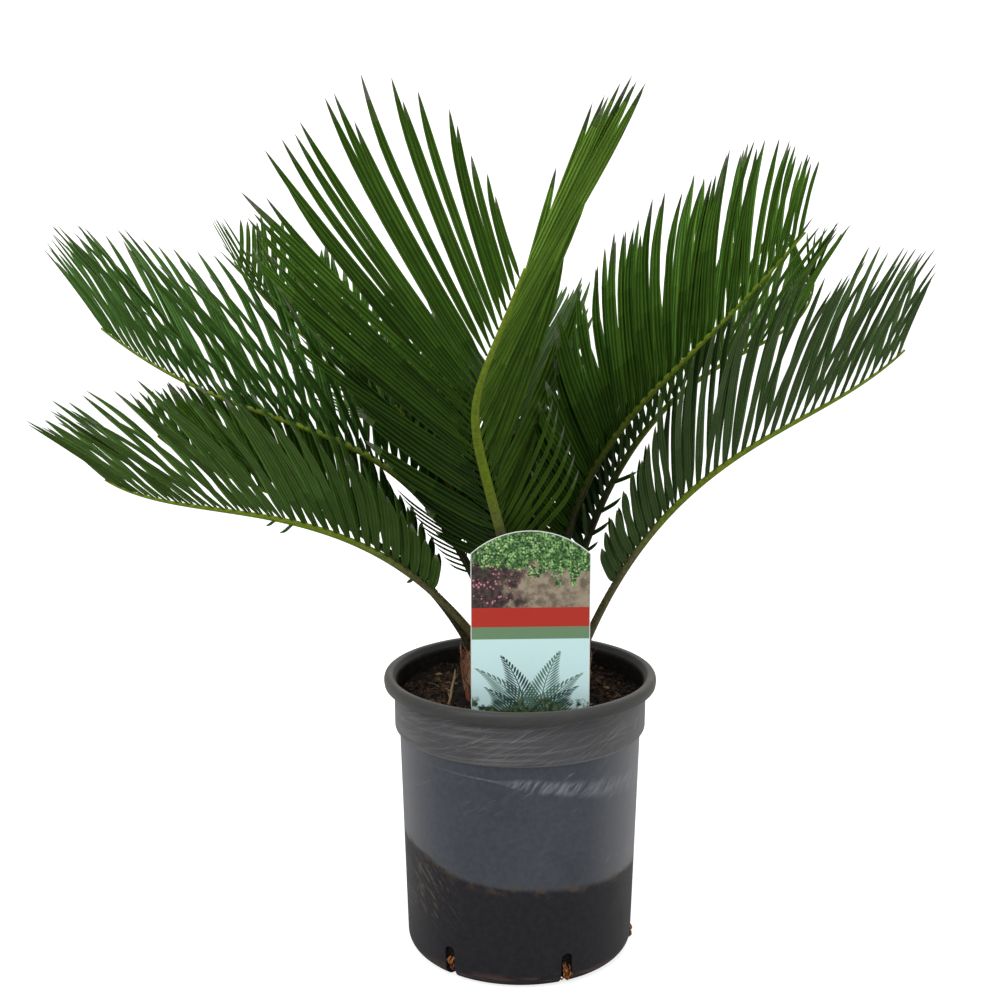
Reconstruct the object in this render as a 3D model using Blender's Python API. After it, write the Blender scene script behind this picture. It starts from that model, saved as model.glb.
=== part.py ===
"""Sago palm in a nursery pot: pot, soil, trunk, plant label and twelve fronds.

Sizes are in millimetres and become metres as each solid is made. The origin is
the centre of the pot's underside, +Z is up and the palm's front faces -Y.
"""
import math

import bpy
import bmesh
import numpy as np
from mathutils import Vector
from mathutils.bvhtree import BVHTree

MM = 0.001
GAP = 0.3                 # clearance between touching pieces
CUTTER_PAST = 6.0         # how far a cutter runs past the faces it cuts

# Pot
RIM_RADIUS = 95.0
POT_HEIGHT = 200.0
LIP_DROP = 8.4            # height of the turned-down lip
COLLAR_RADIUS = 87.5
LEDGE_HEIGHT = 161.5      # underside of the collar
BODY_TOP_RADIUS = 84.2    # just below the ledge
BASE_RADIUS = 79.8
CORNER_RADIUS = 10.0      # rounding from wall to underside
POT_WALL = 1.9
POT_FLOOR = 2.6
POT_SEGMENTS = 48
SLOT_COUNT = 6
SLOT_WIDTH = 8.0
SLOT_TOP = 24.0
SLOT_REACH = 66.0         # inner end of each slot, from the axis
SLOT_TURN = -67.0         # bearing of the first slot

# Soil
SOIL_LEVEL = 182.0
SOIL_SEAT_RADIUS = 50.0   # flat part that carries the trunk
SOIL_SWELL = 1.4          # height of the uneven surface

# Trunk
TRUNK_FOOT_RADIUS = 41.0
TRUNK_RADIUS = 44.0
TRUNK_X = 4.0             # the trunk stands a little off the middle of the pot
CROWN_TOP = 229.0
CROWN_DROP = 25.0         # fall of the crown from its centre to the shoulder
CROWN_POWER = 2.2
SCALE_COLUMNS = 18        # old leaf bases round the trunk
SCALE_PROUD = 2.4
BUD_RADIUS = 4.5
BUD_HEIGHT = 14.0

# Plant label
LABEL_X = 5.9
LABEL_Y = -62.0
LABEL_WIDTH = 78.0
LABEL_FOOT = 189.0
LABEL_SHOULDER = 298.0
LABEL_ARCH = 15.0         # rise of the arched top
LABEL_THICK = 0.9
LABEL_CORNER = 6.0
STAKE_WIDTH = 11.0
STAKE_FOOT = 140.0
STAKE_TIP = 12.0

# Frond build
PAIRS = 26                # leaflet pairs to a frond
LEAF_START = 0.20         # bare stalk, as a share of the rib length
LEAF_END = 0.985
LEAF_WIDTH = 6.8
LEAF_THICK = 1.6
LEAF_BEND = 0.62          # where a leaflet turns, as a share of its length
LEAF_ROOT = 4.4           # length of rib that one leaflet grows from
CLEAR = 0.45              # clearance kept round every leaflet

# How far the leaflets spread from the rib, in degrees, at shares of the leafy part.
FAN_ZONES = (0, 0.15, 0.45, 0.8, 1)
FANS = {
    "even": (60, 59, 56, 48, 37),
    "closing": (60, 59, 55, 40, 20),
    "wide": (80, 74, 66, 50, 43),
    "upright": (84, 70, 63, 36, 20),
}

# Length of the leaflets as a share of the longest one.
OUTLINE_ZONES = (0, 0.1, 0.2, 0.36, 0.7, 0.85, 1)
OUTLINES = {
    "round": (0.28, 0.45, 0.62, 1, 0.90, 0.72, 0.38),
    "full": (0.28, 0.45, 0.62, 1, 0.95, 0.82, 0.46),
    "late": (0.26, 0.37, 0.50, 1, 0.95, 0.86, 0.42),
    "fading": (0.30, 0.48, 0.64, 1, 0.96, 0.78, 0.24),
    "long": (0.42, 0.50, 0.66, 1, 0.94, 0.82, 0.52),
}

# Each frond: bearing; seat radius on the crown; out and up of the two handles
# and of the tip of its rib; sideways sweep; sideways bow; roll; leaflet length.
FRONDS = {
    "frond_01_front": (-84, 15, 73, 423, 146, 380, 204, 487, -26, -38, 6, 186),
    "frond_02_right_low": (-8, 37, 97, 369, 190, 368, 247, 427, 1, -1, 0, 129),
    "frond_03_left_low": (190, 30, 115, 343, 225, 307, 279, 344, -1, 3, 0, 122),
    "frond_04_right_high": (-6, 18, 28, 378, 83, 381, 181, 502, -1, 0, 0, 141),
    "frond_05_left_mid": (172, 19, 83, 405, 176, 340, 297, 435, 3, 0, 0, 150),
    "frond_06_left_high": (149, 11, 60, 391, 157, 380, 247, 477, 6, -1, 0, 88),
    "frond_07_right_mid": (26, 27, 76, 454, 225, 392, 233, 462, -3, -2, -15, 122),
    "frond_08_left_inner": (207, 26, 34, 300, 60, 350, 96, 392, 0, 0, 0, 72),
    "frond_09_left_back": (175, 36, 96, 326, 200, 314, 256, 362, 0, 0, 0, 96),
    "frond_10_back": (95, 26, 62, 350, 140, 400, 246, 372, 0, 0, 0, 120),
    "frond_11_back_right": (72, 33, 66, 330, 150, 366, 258, 352, 0, 0, 0, 115),
    "frond_12_back_left": (124, 32, 72, 315, 150, 360, 262, 350, 0, 0, 0, 115),
}

# How the leaflets stand on the two hands of a frond: fan, outline, rise from the plane
# of the frond and turn about their own length.
PLAIN = (("even", "round", 50, 15), ("even", "round", 50, 15))
HANDS = {
    "frond_01_front": (("wide", "fading", 50, 30), ("upright", "long", 52, 50)),
    "frond_02_right_low": (("even", "late", 50, 15), ("even", "late", 50, 15)),
    "frond_03_left_low": (("closing", "full", 50, 15), ("closing", "full", 50, 15)),
    "frond_05_left_mid": (("closing", "full", 50, 15), ("even", "full", 50, 15)),
    "frond_06_left_high": (("even", "full", 50, 15), ("even", "full", 50, 15)),
}

# What a leaflet may try when the first place is taken: rise and share of length.
RETRIES = (
    (0, 1.0), (8, 1.0), (-8, 1.0), (16, 1.0), (-16, 1.0),
    (0, 0.8), (10, 0.8), (-10, 0.8), (0, 0.6), (0, 0.42),
)


def clear_scene():
    for old in list(bpy.data.objects):
        bpy.data.objects.remove(old, do_unlink=True)


def material(name, colour, roughness):
    made = bpy.data.materials.new(name)
    made.use_nodes = True
    shader = made.node_tree.nodes["Principled BSDF"]
    shader.inputs["Base Color"].default_value = (*colour, 1.0)
    shader.inputs["Roughness"].default_value = roughness
    return made


def add_solid(name, points, faces, look, smooth_angle=None):
    """Make one closed solid from points in millimetres."""
    mesh = bpy.data.meshes.new(name)
    mesh.from_pydata([Vector(p) * MM for p in points], [], faces)
    work = bmesh.new()
    work.from_mesh(mesh)
    bmesh.ops.recalc_face_normals(work, faces=work.faces)
    bmesh.ops.triangulate(work, faces=work.faces)
    work.to_mesh(mesh)
    work.free()
    made = bpy.data.objects.new(name, mesh)
    bpy.context.scene.collection.objects.link(made)
    made.data.materials.append(material(name, *look))
    if smooth_angle:
        mesh.shade_smooth()
        mesh.set_sharp_from_angle(angle=math.radians(smooth_angle))
    return made


def turned(outline, segments):
    """Turn an outline of (radius, height) from the axis out and back to the axis."""
    points = []
    rows = []
    for radius, height in outline:
        if radius == 0:
            rows.append([len(points)] * segments)
            points.append((0.0, 0.0, height))
            continue
        rows.append(list(range(len(points), len(points) + segments)))
        for k in range(segments):
            turn = math.tau * k / segments
            points.append((radius * math.cos(turn), radius * math.sin(turn), height))
    faces = []
    for low, high in zip(rows, rows[1:]):
        for k in range(segments):
            n = (k + 1) % segments
            loop = [low[k], low[n], high[n], high[k]]
            face = [p for i, p in enumerate(loop) if p != loop[i - 1]]
            if len(face) > 2:
                faces.append(face)
    return points, faces


def prism(name, outline, y_front, thick, look):
    """Extrude an outline of (x, z) through a thickness along Y."""
    count = len(outline)
    points = [(x, y_front, z) for x, z in outline]
    points += [(x, y_front + thick, z) for x, z in outline]
    faces = [list(range(count)), list(range(2 * count - 1, count - 1, -1))]
    faces += [[k, (k + 1) % count, count + (k + 1) % count, count + k] for k in range(count)]
    return add_solid(name, points, faces, look)


def cut(target, cutter):
    """Take the cutter out of the target and remove the cutter."""
    step = target.modifiers.new("cut", "BOOLEAN")
    step.operation = "DIFFERENCE"
    step.solver = "EXACT"
    step.object = cutter
    shaped = bpy.data.meshes.new_from_object(
        target.evaluated_get(bpy.context.evaluated_depsgraph_get()))
    target.modifiers.clear()
    target.data = shaped
    bpy.data.objects.remove(cutter, do_unlink=True)


def outer_wall(height):
    """Outer radius of the pot's tapering body."""
    share = (height - CORNER_RADIUS) / (LEDGE_HEIGHT - CORNER_RADIUS)
    return BASE_RADIUS + (BODY_TOP_RADIUS - BASE_RADIUS) * share


def make_pot():
    corner = []
    for k in range(5):
        turn = math.radians(90.0 * k / 4)
        corner.append((BASE_RADIUS - CORNER_RADIUS * (1 - math.sin(turn)),
                       CORNER_RADIUS * (1 - math.cos(turn))))
    lip = POT_HEIGHT - LIP_DROP
    outside = [(0, 0)] + corner + [
        (BODY_TOP_RADIUS, LEDGE_HEIGHT - 1.6),
        (COLLAR_RADIUS, LEDGE_HEIGHT + 0.6),
        (COLLAR_RADIUS + 0.3, POT_HEIGHT - 6.0),
        (COLLAR_RADIUS + 1.6, POT_HEIGHT - 2.9),
        (RIM_RADIUS - 3.0, POT_HEIGHT - 2.9),
        (RIM_RADIUS - 2.4, lip),
        (RIM_RADIUS - 0.7, lip),
        (RIM_RADIUS, POT_HEIGHT - 4.0),
        (RIM_RADIUS - 1.2, POT_HEIGHT - 1.0),
        (RIM_RADIUS - 3.0, POT_HEIGHT),
        (RIM_RADIUS - 6.0, POT_HEIGHT - 0.6),
        (COLLAR_RADIUS - POT_WALL + 0.2, POT_HEIGHT - 5.5),
    ]
    inside = [
        (COLLAR_RADIUS - POT_WALL, LEDGE_HEIGHT + 2.0),
        (outer_wall(LEDGE_HEIGHT) - POT_WALL, LEDGE_HEIGHT - 3.0),
        (outer_wall(CORNER_RADIUS) - POT_WALL, CORNER_RADIUS),
        (BASE_RADIUS - CORNER_RADIUS, POT_FLOOR),
        (0, POT_FLOOR),
    ]
    points, faces = turned(outside + inside, POT_SEGMENTS)
    pot = add_solid("pot", points, faces, ((0.035, 0.037, 0.043), 0.5), 28)
    for k in range(SLOT_COUNT):
        cut(pot, slot_cutter(SLOT_TURN - 60.0 + 360.0 * k / SLOT_COUNT))
    finish(pot, 28)
    return pot


def slot_cutter(bearing):
    """A block that opens one drainage slot at the foot of the wall."""
    half = SLOT_WIDTH / 2
    far = BASE_RADIUS + CUTTER_PAST
    turn = math.radians(bearing)
    points = []
    for z in (-CUTTER_PAST, SLOT_TOP):
        for out, side in ((SLOT_REACH, -half), (far, -half), (far, half), (SLOT_REACH, half)):
            points.append((out * math.cos(turn) - side * math.sin(turn),
                           out * math.sin(turn) + side * math.cos(turn), z))
    faces = [[0, 3, 2, 1], [4, 5, 6, 7], [0, 1, 5, 4], [1, 2, 6, 5], [2, 3, 7, 6], [3, 0, 4, 7]]
    return add_solid("slot", points, faces, ((1, 1, 1), 0.5))


def finish(made, smooth_angle):
    """Join cut faces cleanly, keep triangles and set the shading."""
    work = bmesh.new()
    work.from_mesh(made.data)
    bmesh.ops.remove_doubles(work, verts=work.verts, dist=0.00001)
    bmesh.ops.dissolve_degenerate(work, edges=work.edges, dist=0.00001)
    bmesh.ops.triangulate(work, faces=work.faces)
    work.to_mesh(made.data)
    work.free()
    made.data.shade_smooth()
    made.data.set_sharp_from_angle(angle=math.radians(smooth_angle))


def make_soil():
    fit = POT_WALL + GAP + 0.1
    foot = POT_FLOOR + GAP
    outline = [
        (0, foot),
        (BASE_RADIUS - CORNER_RADIUS - 0.6, foot),
        (outer_wall(CORNER_RADIUS) - fit, CORNER_RADIUS + 0.6),
        (outer_wall(LEDGE_HEIGHT) - fit, LEDGE_HEIGHT - 2.6),
        (COLLAR_RADIUS - fit, LEDGE_HEIGHT + 2.6),
        (COLLAR_RADIUS - fit, SOIL_LEVEL - 1.5),
        (77.0, SOIL_LEVEL + 0.1),
        (67.0, SOIL_LEVEL),
        (58.0, SOIL_LEVEL),
        (SOIL_SEAT_RADIUS, SOIL_LEVEL),
        (0, SOIL_LEVEL),
    ]
    points, faces = turned(outline, POT_SEGMENTS)
    uneven = []
    for x, y, z in points:
        out = math.hypot(x, y)
        if z > SOIL_LEVEL - 0.5 and out > SOIL_SEAT_RADIUS + 1:
            z += SOIL_SWELL * math.sin(0.31 * x + 1.0) * math.cos(0.27 * y + 0.11 * x)
        uneven.append((x, y, z))
    soil = add_solid("soil", uneven, faces, ((0.05, 0.032, 0.02), 0.95), 40)
    half = STAKE_WIDTH / 2 + GAP
    top = SOIL_LEVEL + CUTTER_PAST
    slot = [(LABEL_X - half, STAKE_FOOT - GAP), (LABEL_X + half, STAKE_FOOT - GAP),
            (LABEL_X + half, top), (LABEL_X - half, top)]
    cut(soil, prism("stake_slot", slot, LABEL_Y - GAP, LABEL_THICK + 2 * GAP, ((1, 1, 1), 0.5)))
    finish(soil, 40)
    return soil


def crown_height(radius):
    """Height of the crown's smooth dome at a distance from the axis."""
    return CROWN_TOP - CROWN_DROP * (radius / TRUNK_RADIUS) ** CROWN_POWER


def make_trunk():
    """A squat trunk: rows of old leaf bases below, a smooth crown and a bud above."""
    foot = SOIL_LEVEL + GAP
    shoulder = crown_height(TRUNK_RADIUS - 1)
    rows = [(0, foot, 0), (TRUNK_FOOT_RADIUS, foot, 0)]
    steps = 6
    for k in range(1, steps):
        share = k / steps
        belly = TRUNK_FOOT_RADIUS + (TRUNK_RADIUS - 1 - TRUNK_FOOT_RADIUS) * math.sin(share * 1.57)
        rows.append((belly, foot + (shoulder - foot) * share, SCALE_PROUD))
    rows.append((TRUNK_RADIUS - 1, shoulder, 0))
    for radius in (39, 32, 25, 18, 9):
        rows.append((radius, crown_height(radius), 0))
    rows.append((BUD_RADIUS, crown_height(BUD_RADIUS) + 2, 0))
    rows.append((BUD_RADIUS * 0.6, CROWN_TOP + BUD_HEIGHT * 0.6, 0))
    rows.append((0, CROWN_TOP + BUD_HEIGHT, 0))
    segments = SCALE_COLUMNS * 2
    points, faces = turned([(r, z) for r, z, _ in rows], segments)
    shaped = []
    for index, (x, y, z) in enumerate(points):
        row = (index - 1) // segments + 1 if index else 0
        proud = rows[min(row, len(rows) - 1)][2]
        column = (index - 1) % segments
        lift = proud if (column + row) % 2 else 0.0
        out = math.hypot(x, y)
        grow = (out + lift) / out if out > 1 else 1.0
        shaped.append((x * grow + TRUNK_X, y * grow, z))
    return add_solid("trunk", shaped, faces, ((0.16, 0.075, 0.035), 0.9), 30)


def make_label():
    half = LABEL_WIDTH / 2
    outline = []
    for k in range(5):
        turn = math.radians(90.0 * k / 4)
        outline.append((LABEL_X + half - LABEL_CORNER * (1 - math.sin(turn)),
                        LABEL_FOOT + LABEL_CORNER * (1 - math.cos(turn))))
    bend = (half ** 2 + LABEL_ARCH ** 2) / (2 * LABEL_ARCH)
    reach = math.asin(half / bend)
    for k in range(13):
        turn = reach * (1 - k / 6)
        outline.append((LABEL_X + bend * math.sin(turn),
                        LABEL_SHOULDER + LABEL_ARCH - bend * (1 - math.cos(turn))))
    for k in range(5):
        turn = math.radians(90.0 * (4 - k) / 4)
        outline.append((LABEL_X - half + LABEL_CORNER * (1 - math.sin(turn)),
                        LABEL_FOOT + LABEL_CORNER * (1 - math.cos(turn))))
    stake = STAKE_WIDTH / 2
    outline += [(LABEL_X - stake, LABEL_FOOT), (LABEL_X - stake, STAKE_FOOT + STAKE_TIP),
                (LABEL_X, STAKE_FOOT), (LABEL_X + stake, STAKE_FOOT + STAKE_TIP),
                (LABEL_X + stake, LABEL_FOOT)]
    return prism("plant_label", outline, LABEL_Y, LABEL_THICK, ((0.45, 0.6, 0.55), 0.3))


def unit(v):
    return v / np.linalg.norm(v)


class Rib:
    """The rib of one frond: a curve with a width, a depth and an upper side."""

    def __init__(self, row, hands):
        self.hands = hands
        (bearing, seat, out1, up1, out2, up2, out3, up3,
         sweep, bow, self.roll, self.leaf) = row
        turn = math.radians(bearing)
        out = np.array([math.cos(turn), math.sin(turn), 0.0])
        self.side = np.array([-math.sin(turn), math.cos(turn), 0.0])
        t = np.linspace(0.0, 1.0, 241)[:, None]
        a, b, c, d = (1 - t) ** 3, 3 * t * (1 - t) ** 2, 3 * t * t * (1 - t), t ** 3
        reach = a * seat + b * out1 + c * out2 + d * out3
        rise = a * crown_height(seat) + b * up1 + c * up2 + d * up3
        aside = sweep * t ** 2 + bow * 4 * t * (1 - t)
        self.path = reach * out + aside * self.side + rise * np.array([0.0, 0.0, 1.0])
        self.path[:, 0] += TRUNK_X
        steps = np.linalg.norm(np.diff(self.path, axis=0), axis=1)
        self.along = np.concatenate([[0.0], np.cumsum(steps)])
        self.length = self.along[-1]
        slope = -CROWN_DROP * CROWN_POWER / TRUNK_RADIUS * (seat / TRUNK_RADIUS) ** (CROWN_POWER - 1)
        self.seat_normal = unit(-slope * out + np.array([0.0, 0.0, 1.0]))
        self.lift = 0.0

    def at(self, share):
        """Place, direction, sideways and upward at a share of the rib's length."""
        here = share * self.length
        place = np.array([np.interp(here, self.along, self.path[:, i]) for i in range(3)])
        ahead = np.array([np.interp(here + 2, self.along, self.path[:, i]) for i in range(3)])
        behind = np.array([np.interp(here - 2, self.along, self.path[:, i]) for i in range(3)])
        way = unit(ahead - behind)
        side = unit(self.side - self.side.dot(way) * way)
        upper = np.cross(way, side)
        turn = math.radians(self.roll)
        return (place, way, math.cos(turn) * side + math.sin(turn) * upper,
                math.cos(turn) * upper - math.sin(turn) * side)

    def section(self, share):
        """Half width, top, side foot and keel of the rib."""
        wide = np.interp(share, (0, 0.05, 0.16, 0.5, 1.0), (8.4, 7.0, 5.6, 4.4, 1.6))
        deep = np.interp(share, (0, 0.05, 0.16, 0.5, 1.0), (6.6, 5.6, 4.8, 3.8, 1.4))
        edge = np.interp(share, (0, 0.16, 0.5, 1.0), (2.4, 2.0, 1.7, 0.9))
        return wide / 2, deep * 0.35, deep * 0.35 - edge, -deep * 0.65

    def ring(self, share):
        place, way, side, upper = self.at(share)
        half, top, foot, keel = self.section(share)
        if share == 0:
            # the foot of the stalk lies flat along the crown
            upper = unit(upper - upper.dot(self.seat_normal) * self.seat_normal)
            side = unit(side - side.dot(self.seat_normal) * self.seat_normal)
            place = place + self.seat_normal * self.lift
        corners = ((-half, top), (-half, foot), (0, keel), (half, foot), (half, top))
        return [place + side * x + upper * y for x, y in corners]

    def stations(self):
        """Shares where the rib has a ring: the bare stalk, then two to each leaflet."""
        root = LEAF_ROOT / 2 / self.length
        shares = [0.0, 0.045, 0.10, 0.155]
        centres = []
        for k in range(PAIRS):
            centre = LEAF_START + (LEAF_END - LEAF_START) * k / (PAIRS - 1)
            near = root * (1.0 - 0.45 * k / (PAIRS - 1))
            centres.append(len(shares))
            shares += [centre - near, centre + near]
        return shares, centres

    def leaflet(self, k, hand, rise, share_of_length, shares, first):
        """The four corners at the bend and the point of one leaflet."""
        zone = k / (PAIRS - 1)
        middle = (shares[first] + shares[first + 1]) / 2
        place, way, side, upper = self.at(middle)
        half, top, foot, _ = self.section(middle)
        start = place + side * (hand * half) + upper * (top + foot) / 2
        fan, outline, wing, louvre = self.hands[0 if hand < 0 else 1]
        spread = math.radians(np.interp(zone, FAN_ZONES, FANS[fan]))
        wing = math.radians(wing + rise)
        heading = (math.cos(spread) * way + math.sin(spread)
                   * (math.cos(wing) * hand * side + math.sin(wing) * upper))
        size = np.interp(zone, OUTLINE_ZONES, OUTLINES[outline])
        reach = self.leaf * size * share_of_length * (1 + 0.035 * math.sin(17.3 * k + hand))
        spacing = self.length * (LEAF_END - LEAF_START) / (PAIRS - 1)
        wide = min(LEAF_WIDTH, 0.78 * spacing * math.sin(spread) + 0.4)
        across = unit(way - way.dot(heading) * heading)
        flat = np.cross(heading, across)
        turn = math.radians(-hand * louvre)
        across, flat = (across * math.cos(turn) + flat * math.sin(turn),
                        flat * math.cos(turn) - across * math.sin(turn))
        if flat.dot(upper) < 0:
            flat = -flat
        thick = max(LEAF_THICK, reach / 95)
        bend = start + heading * reach * LEAF_BEND
        tip = start + unit(heading + 0.10 * way) * reach
        corners = [bend - across * wide / 2 + flat * thick / 2,
                   bend - across * wide / 2 - flat * thick / 2,
                   bend + across * wide / 2 - flat * thick / 2,
                   bend + across * wide / 2 + flat * thick / 2]
        return start, corners, tip, across, flat


def guard(leaf, base):
    """A slightly larger copy of a leaflet, clear of its own rib, for finding clashes."""
    start, corners, tip, across, flat = leaf
    grown = []
    for corner, side, face in zip(corners, (-1, -1, 1, 1), (1, -1, -1, 1)):
        grown.append(corner + across * side * CLEAR + flat * face * CLEAR)
    near = []
    for corner, bent, side, face in zip(base, grown, (-1, -1, 1, 1), (1, -1, -1, 1)):
        near.append(corner + (bent - corner) * 0.01)
    point = tip + unit(tip - start) * CLEAR
    points = near + grown + [point]
    faces = [(0, 3, 2, 1), (0, 1, 5, 4), (1, 2, 6, 5), (2, 3, 7, 6), (3, 0, 4, 7),
             (4, 5, 8), (5, 6, 8), (6, 7, 8), (7, 4, 8)]
    return points, faces


def tree(points, faces):
    return BVHTree.FromPolygons([Vector(p) for p in points], faces)


def object_tree(made):
    mesh = made.data
    points = [v.co / MM for v in mesh.vertices]
    return BVHTree.FromPolygons(points, [tuple(p.vertices) for p in mesh.polygons])


def rib_mesh(rib, shares):
    points = []
    for share in shares:
        points += rib.ring(share)
    faces = []
    for k in range(len(shares) - 1):
        for c in range(5):
            n = (c + 1) % 5
            faces.append((k * 5 + c, k * 5 + n, k * 5 + 5 + n, k * 5 + 5 + c))
    last = (len(shares) - 1) * 5
    faces.append((4, 3, 2, 1, 0))
    faces.append(tuple(range(last, last + 5)))
    return points, faces


def seat_rib(rib, trunk_tree):
    """Lift the stalk's foot until it stands the set gap off the crown."""
    for _ in range(12):
        foot = rib.ring(0)
        samples = list(foot)
        for i in range(5):
            samples.append((foot[i] + foot[(i + 1) % 5]) / 2)
        samples.append(sum(foot) / 5)
        nearest = 99.0
        for sample in samples:
            spot, normal, _, distance = trunk_tree.find_nearest(Vector(sample))
            if (Vector(sample) - spot).dot(normal) < 0:
                distance = -distance
            nearest = min(nearest, distance)
        rib.lift += GAP - nearest


# corners of the rib section that carry the leaflets on each hand
ROOTS = {-1: (0, 1), 1: (4, 3)}


def make_fronds(solids):
    """Lay out every rib, then give each frond the leaflets that have room."""
    fixed = [object_tree(made) for made in solids]
    ribs = {}
    for name, row in FRONDS.items():
        rib = Rib(row, HANDS.get(name, PLAIN))
        seat_rib(rib, fixed[-1])
        shares, centres = rib.stations()
        points, faces = rib_mesh(rib, shares)
        ribs[name] = (rib, shares, centres, points, faces, tree(points, faces))
    placed = {}
    for name, (rib, shares, centres, points, faces, _) in ribs.items():
        others = [entry[5] for other, entry in ribs.items() if other != name]
        others += list(placed.values()) + fixed
        own_points = []
        own_faces = []
        points = list(points)
        faces = list(faces)
        skipped = 0
        for k, first in enumerate(centres):
            for hand in (-1, 1):
                near, far = first * 5, first * 5 + 5
                upper, lower = ROOTS[hand]
                base_index = (near + upper, near + lower, far + lower, far + upper)
                base = [points[i] for i in base_index]
                own = tree(own_points, own_faces) if own_faces else None
                for rise, share in RETRIES:
                    leaf = rib.leaflet(k, hand, rise, share, shares, first)
                    test_points, test_faces = guard(leaf, base)
                    test = tree(test_points, test_faces)
                    if own and test.overlap(own):
                        continue
                    if any(test.overlap(other) for other in others):
                        continue
                    break
                else:
                    skipped += 1
                    continue
                _, corners, tip, _, _ = leaf
                start = len(points)
                points += corners + [tip]
                faces = [f for f in faces if set(f) != set(base_index)]
                a, b, c, d = base_index
                e, f, g, h, point = range(start, start + 5)
                faces += [(a, b, f, e), (b, c, g, f), (c, d, h, g), (d, a, e, h),
                          (e, f, point), (f, g, point), (g, h, point), (h, e, point)]
                count = len(own_points)
                own_points += [p for p in base] + corners + [tip]
                a, b, c, d, e, f, g, h, point = range(count, count + 9)
                own_faces += [(a, b, f, e), (b, c, g, f), (c, d, h, g), (d, a, e, h),
                              (e, f, point), (f, g, point), (g, h, point), (h, e, point)]
        print(name, "length", round(rib.length), "skipped", skipped)
        placed[name] = tree(points, faces)
        add_solid(name, points, faces, ((0.045, 0.13, 0.02), 0.45), 35)


def build():
    clear_scene()
    pot = make_pot()
    soil = make_soil()
    label = make_label()
    trunk = make_trunk()
    make_fronds([pot, soil, label, trunk])


build()
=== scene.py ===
# A young sago palm in a black nursery pot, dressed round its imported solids.
# Lengths are in millimetres; addPiece() turns them into metres.
import math
import random

import bmesh
import bpy
import numpy as np
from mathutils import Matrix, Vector, noise
from mathutils.bvhtree import BVHTree


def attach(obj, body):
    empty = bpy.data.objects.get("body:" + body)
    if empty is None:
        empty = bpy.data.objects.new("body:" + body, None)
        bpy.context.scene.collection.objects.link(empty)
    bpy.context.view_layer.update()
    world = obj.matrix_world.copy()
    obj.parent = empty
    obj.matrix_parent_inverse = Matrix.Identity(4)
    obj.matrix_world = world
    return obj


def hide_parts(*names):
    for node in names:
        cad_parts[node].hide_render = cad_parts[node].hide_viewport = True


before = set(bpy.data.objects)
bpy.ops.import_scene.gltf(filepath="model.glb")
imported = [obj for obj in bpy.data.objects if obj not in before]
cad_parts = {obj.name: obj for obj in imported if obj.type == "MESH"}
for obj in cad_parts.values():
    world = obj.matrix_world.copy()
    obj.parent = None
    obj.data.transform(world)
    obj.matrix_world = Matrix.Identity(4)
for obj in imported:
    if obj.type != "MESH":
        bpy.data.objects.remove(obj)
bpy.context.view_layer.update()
mm = 0.001
trunkX = 4.0  # the trunk stands a little to the right of the pot's axis
scene = bpy.context.scene


# small tools for meshes

def unit(v):
    return v / np.linalg.norm(v, axis=-1, keepdims=True)


def spot(bearing, out, up):
    turn = math.radians(bearing)
    return np.array([out * math.cos(turn), out * math.sin(turn), up])


skyward = np.array([0.0, 0.0, 1.0])


def facing(bearing):  # outward and sideways, on the level, at a bearing in degrees
    turn = math.radians(bearing)
    return (np.array([math.cos(turn), math.sin(turn), 0.0]),
            np.array([-math.sin(turn), math.cos(turn), 0.0]))


def aboutX(angle):
    c, s = math.cos(angle), math.sin(angle)
    return np.array([[1, 0, 0], [0, c, -s], [0, s, c]])


def aboutZ(angle):
    c, s = math.cos(angle), math.sin(angle)
    return np.array([[c, -s, 0], [s, c, 0], [0, 0, 1]])


class Pile:  # gathers many small closed meshes into one
    def __init__(self):
        self.points = []
        self.faces = []
        self.slots = []
        self.count = 0

    def add(self, points, faces, slot=0):
        base = self.count
        self.points.append(np.asarray(points, float))
        self.count += len(points)
        self.faces += [[base + i for i in face] for face in faces]
        self.slots += list(slot) if hasattr(slot, "__len__") else [slot] * len(faces)


def meshOf(name, pile):
    mesh = bpy.data.meshes.new(name)
    mesh.from_pydata((np.vstack(pile.points) * mm).tolist(), [], pile.faces)
    return mesh


def addObject(name, data):
    made = bpy.data.objects.new(name, data)
    scene.collection.objects.link(made)
    return made


def smooth(mesh, sharp):  # edges sharper than so many degrees stay crisp
    mesh.shade_smooth()
    if sharp:
        mesh.set_sharp_from_angle(angle=math.radians(sharp))


def faceOutward(mesh):
    work = bmesh.new()
    work.from_mesh(mesh)
    bmesh.ops.recalc_face_normals(work, faces=work.faces)
    work.to_mesh(mesh)
    work.free()


def addPiece(name, pile, materials, replaced=(), sharp=None):
    mesh = meshOf(name, pile)
    for look in materials:
        mesh.materials.append(look)
    mesh.polygons.foreach_set("material_index", pile.slots)
    smooth(mesh, sharp)
    piece = addObject(name, mesh)
    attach(piece, "root")
    if replaced:
        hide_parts(*replaced)
    return piece


def ringFaces(rows, sides, closeStart=True, closeEnd=True):
    faces = []
    for r in range(rows - 1):
        for k in range(sides):
            n = (k + 1) % sides
            faces.append((r * sides + k, r * sides + n, (r + 1) * sides + n, (r + 1) * sides + k))
    if closeStart:
        faces.append(tuple(range(sides - 1, -1, -1)))
    if closeEnd:
        faces.append(tuple(range((rows - 1) * sides, rows * sides)))
    return faces


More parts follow.
